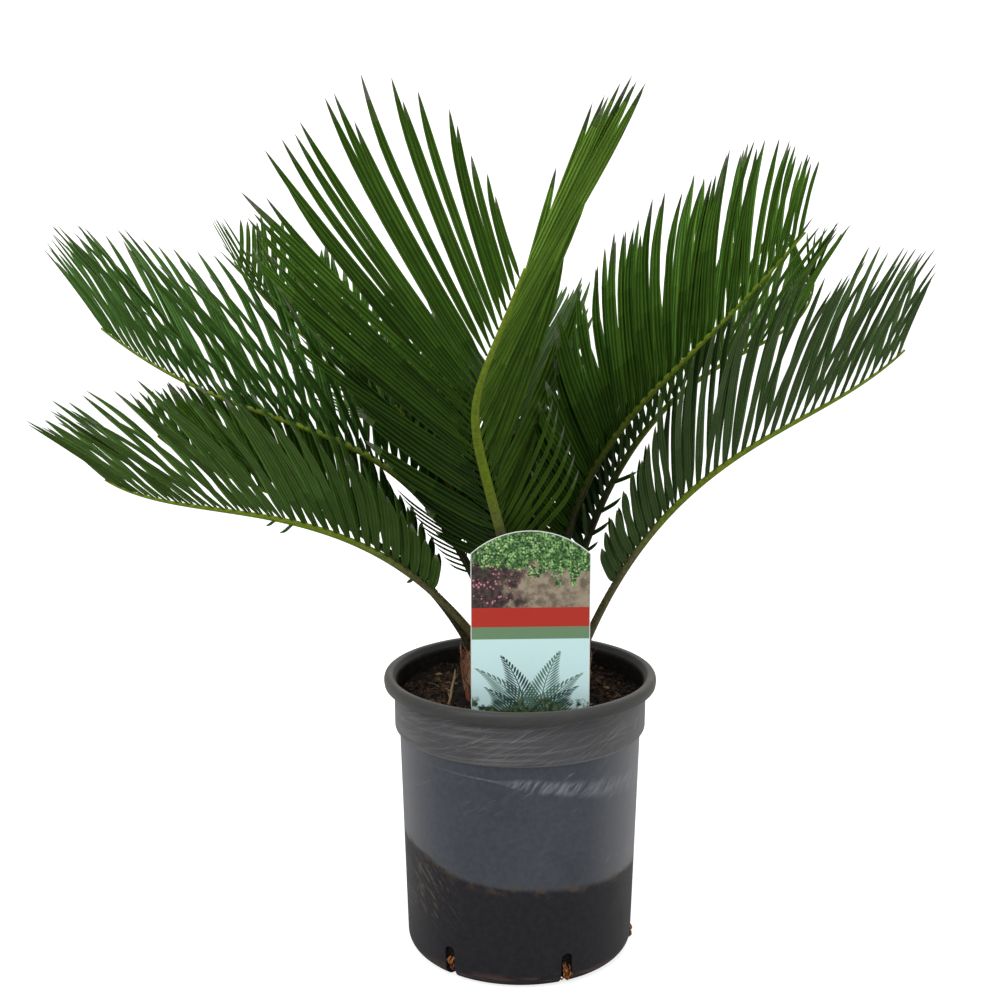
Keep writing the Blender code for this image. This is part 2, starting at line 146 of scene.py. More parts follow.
def strand(path, radii, sides=5):  # a thin round thread along a path
    path = np.asarray(path, float)
    way = unit(np.gradient(path, axis=0))
    helper = np.array([0.31, 0.17, 0.93])
    first = unit(np.cross(way, helper))
    second = np.cross(way, first)
    turns = np.arange(sides) * math.tau / sides
    radii = np.broadcast_to(radii, (len(path),))
    circle = (first[:, None] * np.cos(turns)[None, :, None]
              + second[:, None] * np.sin(turns)[None, :, None])
    points = path[:, None] + circle * radii[:, None, None]
    return points.reshape(-1, 3), ringFaces(len(path), sides)


def softened(outline, radius, steps=4):  # rounds the corners of an open outline
    outline = [np.array(p, float) for p in outline]
    made = [outline[0]]
    for before, here, after in zip(outline, outline[1:], outline[2:]):
        toBefore = before - here
        toAfter = after - here
        back = min(radius, np.linalg.norm(toBefore) * 0.45)
        ahead = min(radius, np.linalg.norm(toAfter) * 0.45)
        start = here + unit(toBefore) * back
        end = here + unit(toAfter) * ahead
        for k in range(steps + 1):
            t = k / steps
            made.append((1 - t) ** 2 * start + 2 * t * (1 - t) * here + t * t * end)
    made.append(outline[-1])
    return made


def turned(outline, sides):  # turns (radius, height) points round the Z axis
    turns = np.arange(sides) * math.tau / sides
    ringed = [p for p in outline if p[0] > 0]
    points = [np.stack([r * np.cos(turns), r * np.sin(turns), np.full(sides, z)], axis=1)
              for r, z in ringed]
    faces = ringFaces(len(ringed), sides, False, False)
    count = len(ringed) * sides
    points = np.vstack(points)
    ends = [(0, outline[0], 0), (1, outline[-1], (len(ringed) - 1) * sides)]
    for which, (radius, height), base in ends:
        if radius == 0:
            points = np.vstack([points, [[0, 0, height]]])
            for k in range(sides):
                pair = (base + k, base + (k + 1) % sides)
                faces.append((count, pair[1], pair[0]) if which == 0 else (count, *pair))
            count += 1
    return points, faces


# small tools for materials

def addNode(tree, kind, **settings):
    made = tree.nodes.new(kind)
    for key, value in settings.items():
        setattr(made, key, value)
    return made


def feed(tree, socket, value):  # value is a number, a colour or another socket
    if isinstance(value, bpy.types.NodeSocket):
        tree.links.new(value, socket)
    else:
        socket.default_value = value


def maths(tree, operation, first, second=0.0):
    made = addNode(tree, "ShaderNodeMath", operation=operation)
    feed(tree, made.inputs[0], first)
    feed(tree, made.inputs[1], second)
    return made.outputs[0]


def times(tree, first, *others):
    for other in others:
        first = maths(tree, "MULTIPLY", first, other)
    return first


def plus(tree, first, *others):
    for other in others:
        first = maths(tree, "ADD", first, other)
    return first


def minus(tree, first, second):
    return maths(tree, "SUBTRACT", first, second)


def between(tree, value, low, high, toLow=0.0, toHigh=1.0):
    made = addNode(tree, "ShaderNodeMapRange", interpolation_type="SMOOTHSTEP")
    for socket, given in zip(made.inputs, (value, low, high, toLow, toHigh)):
        feed(tree, socket, given)
    return made.outputs[0]


def blendColour(tree, amount, first, second, mode="MIX"):
    made = addNode(tree, "ShaderNodeMix", data_type="RGBA", blend_type=mode)
    feed(tree, made.inputs[0], amount)
    feed(tree, made.inputs[6], first)
    feed(tree, made.inputs[7], second)
    return made.outputs[2]


def newGroup(name, inputs, outputs):
    group = bpy.data.node_groups.new(name, "ShaderNodeTree")
    for title, value in inputs:
        kind = "NodeSocketVector" if isinstance(value, tuple) else "NodeSocketFloat"
        socket = group.interface.new_socket(title, in_out="INPUT", socket_type=kind)
        socket.default_value = value
    for title in outputs:
        group.interface.new_socket(title, in_out="OUTPUT", socket_type="NodeSocketFloat")
    start = group.nodes.new("NodeGroupInput")
    return group, start.outputs, group.nodes.new("NodeGroupOutput").inputs


def useGroup(tree, group, **values):
    made = addNode(tree, "ShaderNodeGroup", node_tree=group)
    for key, value in values.items():
        feed(tree, made.inputs[key.title()], value)
    return made.outputs[0]


def placeInMm(tree):
    where = addNode(tree, "ShaderNodeTexCoord")
    scaled = addNode(tree, "ShaderNodeVectorMath", operation="SCALE")
    tree.links.new(where.outputs["Object"], scaled.inputs[0])
    scaled.inputs["Scale"].default_value = 1.0 / mm
    return scaled.outputs[0]


def axes(tree, vector):
    made = addNode(tree, "ShaderNodeSeparateXYZ")
    tree.links.new(vector, made.inputs[0])
    return made.outputs


def noiseOf(tree, vector, scale, detail=3.0, rough=0.55):
    made = addNode(tree, "ShaderNodeTexNoise")
    tree.links.new(vector, made.inputs["Vector"])
    made.inputs["Detail"].default_value = detail
    made.inputs["Roughness"].default_value = rough
    feed(tree, made.inputs["Scale"], scale)
    return made.outputs[0]


def rgb(red, green, blue):  # a colour as seen on screen, 0 to 255, made linear
    made = []
    for value in (red, green, blue):
        v = value / 255
        made.append(v / 12.92 if v <= 0.04045 else ((v + 0.055) / 1.055) ** 2.4)
    return (*made, 1.0)


def newMaterial(name, roughness=0.5, specular=0.5, coat=0.0):
    look = bpy.data.materials.new(name)
    look.use_nodes = True
    tree = look.node_tree
    shader = tree.nodes["Principled BSDF"]
    shader.inputs["Roughness"].default_value = roughness
    shader.inputs["Specular IOR Level"].default_value = specular
    shader.inputs["Coat Weight"].default_value = coat
    shader.inputs["Coat Roughness"].default_value = 0.2
    return look, tree, shader.inputs


def addBump(tree, shader, height, distance, strength=1.0):
    made = addNode(tree, "ShaderNodeBump")
    made.inputs["Distance"].default_value = distance * mm
    made.inputs["Strength"].default_value = strength
    tree.links.new(height, made.inputs["Height"])
    tree.links.new(made.outputs[0], shader["Normal"])


# effects that several materials share

def makeMottle():  # soft blotches, stretched if asked
    group, given, out = newGroup("mottle", [
        ("Size", 10.0), ("Low", 0.35), ("High", 0.65), ("Stretch", (1.0, 1.0, 1.0))], ["Mask"])
    stretched = addNode(group, "ShaderNodeVectorMath", operation="MULTIPLY")
    feed(group, stretched.inputs[0], placeInMm(group))
    feed(group, stretched.inputs[1], given["Stretch"])
    field = noiseOf(group, stretched.outputs[0], maths(group, "DIVIDE", 1.0, given["Size"]), 5.0)
    feed(group, out["Mask"], between(group, field, given["Low"], given["High"]))
    return group


def alongSlant(group, given):  # tilted coordinates, in strokes' lengths and widths
    slant = addNode(group, "ShaderNodeVectorRotate", rotation_type="Y_AXIS")
    feed(group, slant.inputs["Vector"], placeInMm(group))
    feed(group, slant.inputs["Angle"], given["Tilt"])
    part = axes(group, slant.outputs[0])
    joined = addNode(group, "ShaderNodeCombineXYZ")
    for k, size, shift in ((0, "Long", 0.0), (1, "Long", given["Shift"]), (2, "Wide", 0.0)):
        share = maths(group, "DIVIDE", part[k], given[size])
        feed(group, joined.inputs[k], plus(group, share, shift))
    return joined.outputs[0]


def makeStrokes():  # thin slanting scratches that come and go
    group, given, out = newGroup("strokes", [
        ("Tilt", 0.4), ("Long", 40.0), ("Wide", 3.0), ("Thin", 0.02), ("Shift", 0.0)], ["Mask"])
    where = alongSlant(group, given)
    field = noiseOf(group, where, 1.0, 2.0, 0.4)
    near = maths(group, "ABSOLUTE", minus(group, field, 0.5))
    line = between(group, near, 0.0, given["Thin"], 1.0, 0.0)
    breaks = noiseOf(group, where, 0.6, 3.0)
    feed(group, out["Mask"], times(group, line, between(group, breaks, 0.45, 0.6)))
    return group


def makeDirtLine():  # 1 below a wandering level, and a rim along it
    group, given, out = newGroup("dirtLine", [
        ("Level", 70.0), ("Slope", 0.0), ("Wander", 3.0), ("Soft", 1.5)], ["Below", "Edge"])
    where = placeInMm(group)
    part = axes(group, where)
    leaning = times(group, part[0], given["Slope"])
    wander = times(group, minus(group, noiseOf(group, where, 0.07, 5.0), 0.5), given["Wander"])
    level = plus(group, given["Level"], leaning, wander)
    over = minus(group, part[2], level)
    feed(group, out["Below"], between(group, maths(group, "DIVIDE", over, given["Soft"]),
                                      -1.0, 1.0, 1.0, 0.0))
    feed(group, out["Edge"], between(group, maths(group, "ABSOLUTE", over), 0.0, 7.0, 1.0, 0.0))
    return group


def makeBrushed():  # soft smears drawn out along a slant
    group, given, out = newGroup("brushed", [
        ("Tilt", 0.4), ("Long", 40.0), ("Wide", 3.0), ("Low", 0.5), ("High", 0.7), ("Shift", 0.0)],
        ["Mask"])
    field = noiseOf(group, alongSlant(group, given), 1.0, 4.0, 0.6)
    feed(group, out["Mask"], between(group, field, given["Low"], given["High"]))
    return group


def makeSprig():  # a printed feathery sprig: a stem with pairs of slanting leaves
    group, given, out = newGroup("sprig", [
        ("X", 0.0), ("Z", 0.0), ("Lean", 0.0), ("Tall", 30.0), ("Long", 9.0), ("Step", 2.5)], ["Mask"])
    part = axes(group, placeInMm(group))
    rise = minus(group, part[2], given["Z"])
    share = maths(group, "DIVIDE", rise, given["Tall"])
    bend = times(group, share, share, times(group, given["Lean"], given["Tall"]))
    fromFoot = minus(group, part[0], given["X"])
    aside = maths(group, "ABSOLUTE", minus(group, fromFoot, bend))
    cell = maths(group, "FLOORED_MODULO", minus(group, rise, times(group, aside, 1.1)), given["Step"])
    reach = times(group, given["Long"], minus(group, 1.05, share))
    along = minus(group, times(group, maths(group, "DIVIDE", aside, reach), 2.0), 1.0)
    swell = minus(group, 1.0, times(group, along, along))
    half = times(group, given["Step"], 0.36, swell)
    off = maths(group, "ABSOLUTE", minus(group, cell, times(group, given["Step"], 0.5)))
    leaf = between(group, minus(group, off, half), -0.12, 0.12, 1.0, 0.0)
    stem = between(group, aside, 0.25, 0.5, 1.0, 0.0)
    inside = times(group, between(group, share, 0.0, 0.02), between(group, share, 0.98, 1.0, 1.0, 0.0))
    feed(group, out["Mask"], times(group, maths(group, "MAXIMUM", leaf, stem), inside))
    return group


mottle = makeMottle()
strokes = makeStrokes()
dirtLine = makeDirtLine()
brushed = makeBrushed()
sprig = makeSprig()
print("shared effects ready")


# camera, lights and floor

studio = {
    "eye": (-13.97, -1037.8, 524.7),
    "pitchDown": 11.16,  # degrees
    "lens": 55.52,
    "sensor": 36.0,
    "paper": rgb(252, 252, 251),
    "floor": rgb(186, 186, 185),
    "lowAir": 0.38,
    "highAir": 1.10,
    "glow": 0.75,  # what the eye sees of the floor beyond its light
    "floorReach": 6.0,  # metres
    "aim": (0.0, 0.0, 250.0),
}


def makeStudio():
    lens = bpy.data.cameras.new("camera")
    lens.lens = studio["lens"]
    lens.sensor_width = studio["sensor"]
    lens.sensor_fit = "AUTO"
    lens.clip_start = 0.01
    lens.clip_end = 50.0
    camera = addObject("camera", lens)
    camera.location = Vector(studio["eye"]) * mm
    camera.rotation_euler = (math.radians(90.0 - studio["pitchDown"]), 0.0, 0.0)
    scene.camera = camera

    world = bpy.data.worlds.new("studioAir")  # brighter overhead, plain white to the eye
    world.use_nodes = True
    tree = world.node_tree
    air = tree.nodes["Background"]
    air.inputs["Color"].default_value = studio["paper"]
    way = addNode(tree, "ShaderNodeTexCoord").outputs["Generated"]
    light = between(tree, axes(tree, way)[2], 0.0, 1.0, studio["lowAir"], studio["highAir"])
    seen = addNode(tree, "ShaderNodeLightPath").outputs["Is Camera Ray"]
    feed(tree, air.inputs["Strength"], plus(tree, light, seen))
    scene.world = world

    scene.view_settings.view_transform = "Standard"

    lights = [  # name, place, size, power in watts
        ("keyLight", (-900.0, -1300.0, 1500.0), 1100.0, 18.0),
        ("fillLight", (1300.0, -1100.0, 800.0), 1300.0, 6.0),
        ("topLight", (100.0, 200.0, 1900.0), 1500.0, 12.0),
        ("backLight", (300.0, 1600.0, 1100.0), 1500.0, 5.0),
    ]
    for name, place, size, power in lights:
        data = bpy.data.lights.new(name, "AREA")
        data.size = size * mm
        data.energy = power
        light = addObject(name, data)
        light.location = Vector(place) * mm
        aim = Vector(studio["aim"]) * mm - light.location
        light.rotation_euler = aim.to_track_quat("-Z", "Y").to_euler()

    look, tree, shader = newMaterial("studioPaper", roughness=1.0, specular=0.0)
    feed(tree, shader["Base Color"], studio["floor"])
    seen = addNode(tree, "ShaderNodeLightPath").outputs["Is Camera Ray"]
    feed(tree, shader["Emission Color"], seen)
    shader["Emission Strength"].default_value = studio["glow"]
    mesh = bpy.data.meshes.new("studioFloor")
    reach = studio["floorReach"]
    corners = [(-reach, -reach, 0), (reach, -reach, 0), (reach, reach, 0), (-reach, reach, 0)]
    mesh.from_pydata(corners, [], [(0, 1, 2, 3)])
    mesh.materials.append(look)
    addObject("studioFloor", mesh)


makeStudio()
print("studio ready")


# the pot

pot = {
    "rimRadius": 95.0,
    "height": 200.0,
    "collarRadius": 87.5,
    "ledge": 161.5,
    "bodyTop": 84.2,
    "baseRadius": 79.8,
    "corner": 10.0,
    "wall": 1.9,
    "floor": 2.6,
    "sides": 160,
    "slots": 6,
    "slotWidth": 8.0,
    "slotTop": 24.0,
    "slotReach": 66.0,
    "slotBearing": -127.0,
    "sharp": 32.0,
    "dusty": rgb(63, 67, 75),
    "dull": rgb(56, 59, 66),
    # the edge colour is painted sheen at grazing angles, partly for dust
    "edgeDustAndSheen": rgb(132, 132, 134),
    "foot": rgb(27, 25, 30),
    # painted sheen of the foot at grazing angles
    "footSheen": rgb(62, 60, 62),
    "lip": rgb(55, 55, 54),
    "scuff": rgb(122, 126, 133),
    "soilStain": rgb(82, 68, 50),
    "rust": rgb(92, 68, 62),
    # the inner wall colour is painted shade, with lighter dust flecks
    "inner": rgb(18, 17, 16),
    "innerDust": rgb(34, 32, 28),
    "collarTint": rgb(80, 77, 75),
    "collarRub": rgb(124, 122, 121),
    "brushMark": rgb(128, 132, 139),
    "hairline": rgb(138, 141, 146),
    "footFleck": rgb(60, 59, 64),
    "drySoil": rgb(104, 96, 82),
    # painted sheen of the lip at grazing angles
    "lipSheen": rgb(100, 98, 90),
    "marks": {  # tilt, length and width, where they start and are full, and a shift between fields
        "levelRub": (0.05, 60.0, 2.6, 0.48, 0.72, 3.1),
        "slantRub": (0.4, 34.0, 1.5, 0.48, 0.72, 6.4),
        "steep": (1.05, 20.0, 1.7, 0.42, 0.66, 1.3),
        "slack": (0.75, 14.0, 2.4, 0.40, 0.66, 5.2),
        "patches": (0.9, 15.0, 4.5, 0.56, 0.7, 7.7),
        "wisps": (-0.9, 9.0, 1.5, 0.52, 0.64, 4.4),
        "smear": (0.0, 22.0, 4.0, 0.42, 0.6, 9.0),
    },
    "hairlines": {"tilt": 0.62, "long": 60.0, "wide": 2.6, "thin": 0.012, "shift": 2.7},
    "dirt": {"slope": -0.062, "wander": 7.0, "soft": 2.2},
    "band": (147.5, -0.13, -0.0008),  # height of its middle, slope and bend across the front
    "spans": {  # where an effect starts and where it is full, then its value at both
        "grazing": (0.12, 0.75),
        "lighterRight": (40.0, 84.0, 0.0, 0.3),
        "bandGrows": (-22.0, 8.0, 0.8, 6.0),
        "bandGrowsMore": (15.0, 70.0, 0.0, 3.5),
        "bandEdge": (0.3, 1.05, 1.0, 0.0),
        "bandPlain": (-20.0, -6.0, 0.55, 0.0),
        "bandFades": (-64.0, 4.0, 0.15, 1.0),
        "bandFront": (-8.0, -30.0),
        "patchRight": (48.0, 70.0),
        "patchFront": (-5.0, -30.0),
        "hairHeight": (112.0, 160.0, 0.05, 0.5),
        "dirtLevel": (-74.0, -36.0, 82.5, 73.0),
        "wispLeft": (-34.0, -70.0),
        "wispTop": (88.0, 70.0),
        "wispFoot": (30.0, 52.0),
        "smearTop": (13.0, 5.0),
        "smearFront": (-40.0, -60.0),
    },
}


def potMarks(tree, name):
    titles = ("tilt", "long", "wide", "low", "high", "shift")
    return useGroup(tree, brushed, **dict(zip(titles, pot["marks"][name])))


def potMaterial():
    look, tree, shader = newMaterial("potPlastic", roughness=0.5, specular=0.2)
    x, y, z = axes(tree, placeInMm(tree))

    def span(name, value):
        return between(tree, value, *pot["spans"][name])

    # painted sheen: a Layer Weight mask lightens the plastic at grazing angles, for dust and for the
    # white surroundings reflected there
    graze = addNode(tree, "ShaderNodeLayerWeight")
    graze.inputs["Blend"].default_value = 0.32
    side = span("grazing", graze.outputs["Facing"])
    dust = useGroup(tree, mottle, size=34.0, low=0.25, high=0.75, stretch=(1.0, 1.0, 0.55))
    fine = useGroup(tree, mottle, size=4.0, low=0.3, high=0.7)
    colour = blendColour(tree, dust, pot["dull"], pot["dusty"])
    colour = blendColour(tree, times(tree, fine, 0.07), colour, pot["scuff"])
    colour = blendColour(tree, times(tree, side, 0.75), colour, pot["edgeDustAndSheen"])
    # lighter towards the right side
    colour = blendColour(tree, span("lighterRight", x), colour, pot["edgeDustAndSheen"])
    # the collar is a little browner and carries long level rubs and finer slanting ones
    onCollar = between(tree, z, pot["ledge"] - 1.0, pot["ledge"] + 1.0)
    colour = blendColour(tree, times(tree, onCollar, 0.45), colour, pot["collarTint"])
    for name, share in (("levelRub", 0.5), ("slantRub", 0.35)):
        rub = times(tree, potMarks(tree, name), onCollar, share)
        colour = blendColour(tree, rub, colour, pot["collarRub"])
    # a thin line on the front below the collar widens into a band of steep brush marks
    height, lean, curve = pot["band"]
    centre = plus(tree, times(tree, x, lean), plus(tree, times(tree, x, x, curve), height))
    tall = plus(tree, span("bandGrows", x), span("bandGrowsMore", x))
    off = maths(tree, "DIVIDE", minus(tree, z, centre), tall)
    band = span("bandEdge", maths(tree, "ABSOLUTE", off))
    frontal = times(tree, span("bandFades", x), span("bandFront", y))
    marks = times(tree, plus(tree, potMarks(tree, "steep"), potMarks(tree, "slack")), 0.6)
    marks = maths(tree, "MAXIMUM", marks, span("bandPlain", x))
    band = times(tree, band, frontal, marks)
    colour = blendColour(tree, times(tree, band, 0.7), colour, pot["brushMark"])
    # a few rubs at the right and thin hairlines
    right = times(tree, span("patchRight", x), span("patchFront", y))
    patches = times(tree, right, potMarks(tree, "patches"), 0.55)
    colour = blendColour(tree, patches, colour, pot["scuff"])
    hairs = times(tree, useGroup(tree, strokes, **pot["hairlines"]), span("hairHeight", z))
    colour = blendColour(tree, hairs, colour, pot["hairline"])
    # the foot of the pot is darker below the line where it stood in soil
    line = addNode(tree, "ShaderNodeGroup", node_tree=dirtLine)
    feed(tree, line.inputs["Level"], span("dirtLevel", x))
    for title, value in pot["dirt"].items():
        line.inputs[title.title()].default_value = value
    below, edge = line.outputs
    # painted sheen: the foot too is lighter at grazing angles
    foot = blendColour(tree, times(tree, side, 0.8), pot["foot"], pot["footSheen"])
    foot = blendColour(tree, times(tree, fine, 0.15), foot, pot["footFleck"])
    colour = blendColour(tree, below, colour, foot)
    stain = useGroup(tree, mottle, size=9.0, low=0.42, high=0.7, stretch=(1.0, 1.0, 1.6))
    stain = times(tree, stain, edge, 0.65)
    colour = blendColour(tree, stain, colour, pot["soilStain"])
    # wisps of dry soil at the left and a rusty smear near the front of the base
    lowDown = times(tree, span("wispTop", z), span("wispFoot", z))
    wisps = times(tree, potMarks(tree, "wisps"), lowDown, span("wispLeft", x), 0.6)
    colour = blendColour(tree, wisps, colour, pot["drySoil"])
    base = times(tree, span("smearTop", z), span("smearFront", y))
    smear = times(tree, potMarks(tree, "smear"), base, 0.7)
    colour = blendColour(tree, smear, colour, pot["rust"])
    # the lip carries less dust; the inner wall is darker for less dust and as painted shade for the
    # shade inside the pot; out is the distance from the Z axis
    out = maths(tree, "POWER", plus(tree, times(tree, x, x), times(tree, y, y)), 0.5)
    atTop = between(tree, z, pot["height"] - 10.0, pot["height"] - 8.0)
    # painted sheen: the lip is lighter at grazing angles
    lip = blendColour(tree, times(tree, side, 0.6), pot["lip"], pot["lipSheen"])
    colour = blendColour(tree, times(tree, atTop, 0.85), colour, lip)
    slope = plus(tree, times(tree, z, 0.029), pot["baseRadius"] - 1.6)
    inBody = maths(tree, "LESS_THAN", minus(tree, out, slope), 0.0)
    inCollar = times(tree, maths(tree, "LESS_THAN", out, pot["collarRadius"] - 0.9),
                     maths(tree, "GREATER_THAN", z, pot["ledge"] + 1.2))
    aboveBase = maths(tree, "GREATER_THAN", z, 1.5)
    inside = times(tree, maths(tree, "MAXIMUM", inBody, inCollar), aboveBase)
    # painted shade: the inner wall takes a much darker colour than the outside, with a few dust flecks
    colour = blendColour(tree, inside, colour, blendColour(tree, fine, pot["inner"], pot["innerDust"]))
    feed(tree, shader["Base Color"], colour)
    rough = plus(tree, times(tree, dust, 0.16), 0.44)
    feed(tree, shader["Roughness"], minus(tree, rough, times(tree, band, 0.06)))
    relief = plus(tree, times(tree, fine, 0.5), times(tree, hairs, -0.7))
    addBump(tree, shader, relief, 0.1, 0.5)
    return look


def wallRadius(z):
    share = (z - pot["corner"]) / (pot["ledge"] - pot["corner"])
    return pot["baseRadius"] + (pot["bodyTop"] - pot["baseRadius"]) * share


def potOutline():
    rim, collar, base = pot["rimRadius"], pot["collarRadius"], pot["baseRadius"]
    top, ledge, corner, wall = pot["height"], pot["ledge"], pot["corner"], pot["wall"]
    foot = [(base - corner * (1 - math.sin(t)), corner * (1 - math.cos(t)))
            for t in np.linspace(0.0, math.pi / 2, 9)]
    outer = [(pot["bodyTop"], ledge - 1.4), (collar, ledge + 0.8), (collar + 0.3, top - 7.0),
             (collar + 1.4, top - 3.0), (rim - 2.6, top - 3.2), (rim - 2.4, top - 8.4),
             (rim - 0.6, top - 8.4), (rim, top - 4.2), (rim - 0.9, top - 1.1),
             (rim - 3.0, top), (rim - 6.2, top - 0.5)]
    inner = [(collar - wall + 0.2, top - 5.5), (collar - wall, ledge + 2.0),
             (wallRadius(ledge) - wall, ledge - 3.0), (wallRadius(corner) - wall, corner),
             (base - corner, pot["floor"]), (0.0, pot["floor"])]
    return [(0.0, 0.0)] + softened(foot + outer + inner, 1.1, 3)


def makePot():
    outline = potOutline()
    extra = []
    for low, high in zip(outline, outline[1:]):  # long straight runs get more rings
        extra.append(low)
        parts = int(math.dist(low, high) // 14)
        for k in range(1, parts):
            t = k / parts
            extra.append((low[0] + (high[0] - low[0]) * t, low[1] + (high[1] - low[1]) * t))
    extra.append(outline[-1])
    pile = Pile()
    pile.add(*turned(extra, pot["sides"]))
    piece = addPiece("nurseryPot", pile, [potMaterial()], ["pot"], pot["sharp"])
    cutter = Pile()
    past = 4.0
    half = pot["slotWidth"] / 2
    arch = 3.0
    springing = pot["slotTop"] - arch
    for k in range(pot["slots"]):
        out, side = facing(pot["slotBearing"] + 360.0 * k / pot["slots"])
        loop = [(-half, -past), (half, -past), (half, springing)]
        loop += [(half * math.cos(t), springing + arch * math.sin(t))
                 for t in np.linspace(0.3, math.pi - 0.3, 7)]
        loop += [(-half, springing)]
        ends = [out * reach + side * x + skyward * z
                for reach in (pot["slotReach"], pot["baseRadius"] + 6.0) for x, z in loop]
        cutter.add(ends, ringFaces(2, len(loop)))
    block = meshOf("slotCutter", cutter)
    faceOutward(block)
    blocks = addObject("slotCutter", block)
    step = piece.modifiers.new("slots", "BOOLEAN")
    step.operation = "DIFFERENCE"
    step.solver = "EXACT"
    step.object = blocks
    shaped = bpy.data.meshes.new_from_object(
        piece.evaluated_get(bpy.context.evaluated_depsgraph_get()))
    piece.modifiers.clear()
    piece.data = shaped
    smooth(shaped, pot["sharp"])
    bpy.data.objects.remove(blocks, do_unlink=True)


makePot()
print("pot ready")


# the soil with the crumbs, bark chips, roots and straws that lie on it

soil = {
    "level": 182.0,
    "rings": 46,
    "sides": 150,
    "relief": 2.6,
    "gap": 0.35,  # between the soil and the pot's wall
    "crumbs": (1900, 47.0, 83.0),  # how many, and the ring of ground that they lie on
    "chips": (110, 48.0, 81.0),
    "threads": (90, 48.0, 80.0),
    "threadRing": (46.0, 82.5),  # no thread reaches nearer the trunk or the wall
    "seed": 11,
    "looks": {  # darkest and lightest colour, size of the grain, roughness
        "compost": (rgb(12, 10, 8), rgb(28, 21, 15), 2.2, 0.95),
        "crumbDark": (rgb(12, 10, 8), rgb(52, 40, 30), 1.5, 0.95),
        "crumbBrown": (rgb(54, 40, 28), rgb(88, 64, 44), 1.5, 0.95),
        "barkChip": (rgb(46, 30, 20), rgb(48, 33, 23), 1.2, 0.85),
        "paleChip": (rgb(140, 120, 86), rgb(140, 122, 92), 1.0, 0.85),
        "rootBrown": (rgb(58, 40, 27), rgb(98, 72, 48), 1.0, 0.85),
        "dryStraw": (rgb(128, 112, 84), rgb(140, 122, 92), 1.0, 0.8),
    },
    # dry pale flakes near the front: across, towards the back, length
    "paleFlakes": [(-50.0, -57.0, 5.0), (-44.0, -60.0, 6.5), (-38.0, -60.5, 4.0), (66.0, -40.0, 5.5)],
}


def earthMaterial(name, dark, light, grain, roughness):
    look, tree, shader = newMaterial(name, roughness=roughness, specular=0.2)
    broad = useGroup(tree, mottle, size=grain * 5, low=0.3, high=0.7)
    fine = useGroup(tree, mottle, size=grain, low=0.35, high=0.65)
    tone = plus(tree, times(tree, broad, 0.5), times(tree, fine, 0.5))
    feed(tree, shader["Base Color"], blendColour(tree, tone, dark, light))
    addBump(tree, shader, fine, 0.5, 0.8)
    return look


def earthMaterials(given, *names):
    return [earthMaterial(name, *given["looks"][name]) for name in names]


def soilHeight(x, y):
    out = math.hypot(x, y)
    rise = noise.fractal(Vector((x, y, 3.0)) * 0.075, 0.9, 2.1, 4) * soil["relief"]
    wallRise = 1.6 * max(0.0, (out - 70.0) / 14.0) ** 2
    return soil["level"] + rise + wallRise


def makeSoil():
    fit = pot["wall"] + soil["gap"]
    foot = pot["floor"] + soil["gap"]
    wall = [(0.0, foot), (pot["baseRadius"] - pot["corner"] - 0.6, foot),
            (wallRadius(pot["corner"]) - fit, pot["corner"] + 0.6),
            (wallRadius(pot["ledge"]) - fit, pot["ledge"] - 2.6),
            (pot["collarRadius"] - fit, pot["ledge"] + 2.6),
            (pot["collarRadius"] - fit, soil["level"] - 1.0)]
    edge = pot["collarRadius"] - fit - 0.2
    radii = [edge * (1 - k / soil["rings"]) for k in range(soil["rings"])]
    points, faces = turned(wall + [(r, soil["level"]) for r in radii] + [(0.0, soil["level"])],
                           soil["sides"])
    points = [(x, y, soilHeight(x, y) if z >= soil["level"] - 0.01 else z) for x, y, z in points]
    pile = Pile()
    pile.add(points, faces)
    addPiece("compost", pile, earthMaterials(soil, "compost"), ["soil"])


def soilSpots(dice, count, low, high):
    made = []
    for _ in range(count):
        out = math.sqrt(dice.uniform(low ** 2, high ** 2))
        turn = dice.uniform(0.0, math.tau)
        made.append((out * math.cos(turn), out * math.sin(turn)))
    return made


def lumpShape():
    work = bmesh.new()
    bmesh.ops.create_icosphere(work, subdivisions=1, radius=1.0)
    points = np.array([v.co for v in work.verts])
    faces = [[v.index for v in f.verts] for f in work.faces]
    work.free()
    return points, faces


def anyTurn(dice):
    a, b, c = (dice.uniform(0, math.tau) for _ in range(3))
    return aboutZ(a) @ aboutX(b) @ aboutZ(c)


def makeCrumbs():
    dice = random.Random(soil["seed"])
    base, faces = lumpShape()
    pile = Pile()
    for x, y in soilSpots(dice, *soil["crumbs"]):
        size = 0.6 + 2.3 * dice.random() ** 2.6
        knobs = np.array([dice.uniform(0.7, 1.15) for _ in base])[:, None]
        shape = (base * knobs * [1.0, dice.uniform(0.7, 1.0), dice.uniform(0.5, 0.9)]) @ anyTurn(dice)
        at = np.array([x, y, soilHeight(x, y) + size * 0.25])
        pile.add(shape * size + at, faces, 0 if dice.random() < 0.7 else 1)
    addPiece("compostCrumbs", pile, earthMaterials(soil, "crumbDark", "crumbBrown"), sharp=25.0)


def chipShape(dice, long, wide, thick):
    sides = dice.randint(5, 8)
    outline = []
    for k in range(sides):
        turn = math.tau * (k + dice.uniform(-0.25, 0.25)) / sides
        swell = dice.uniform(0.75, 1.1)
        outline.append((long / 2 * swell * math.cos(turn), wide / 2 * swell * math.sin(turn)))
    low = [(x, y, -thick / 2) for x, y in outline]
    high = [(x * 0.86, y * 0.86, thick / 2 + dice.uniform(-0.2, 0.2)) for x, y in outline]
    return np.array(low + high), ringFaces(2, sides)


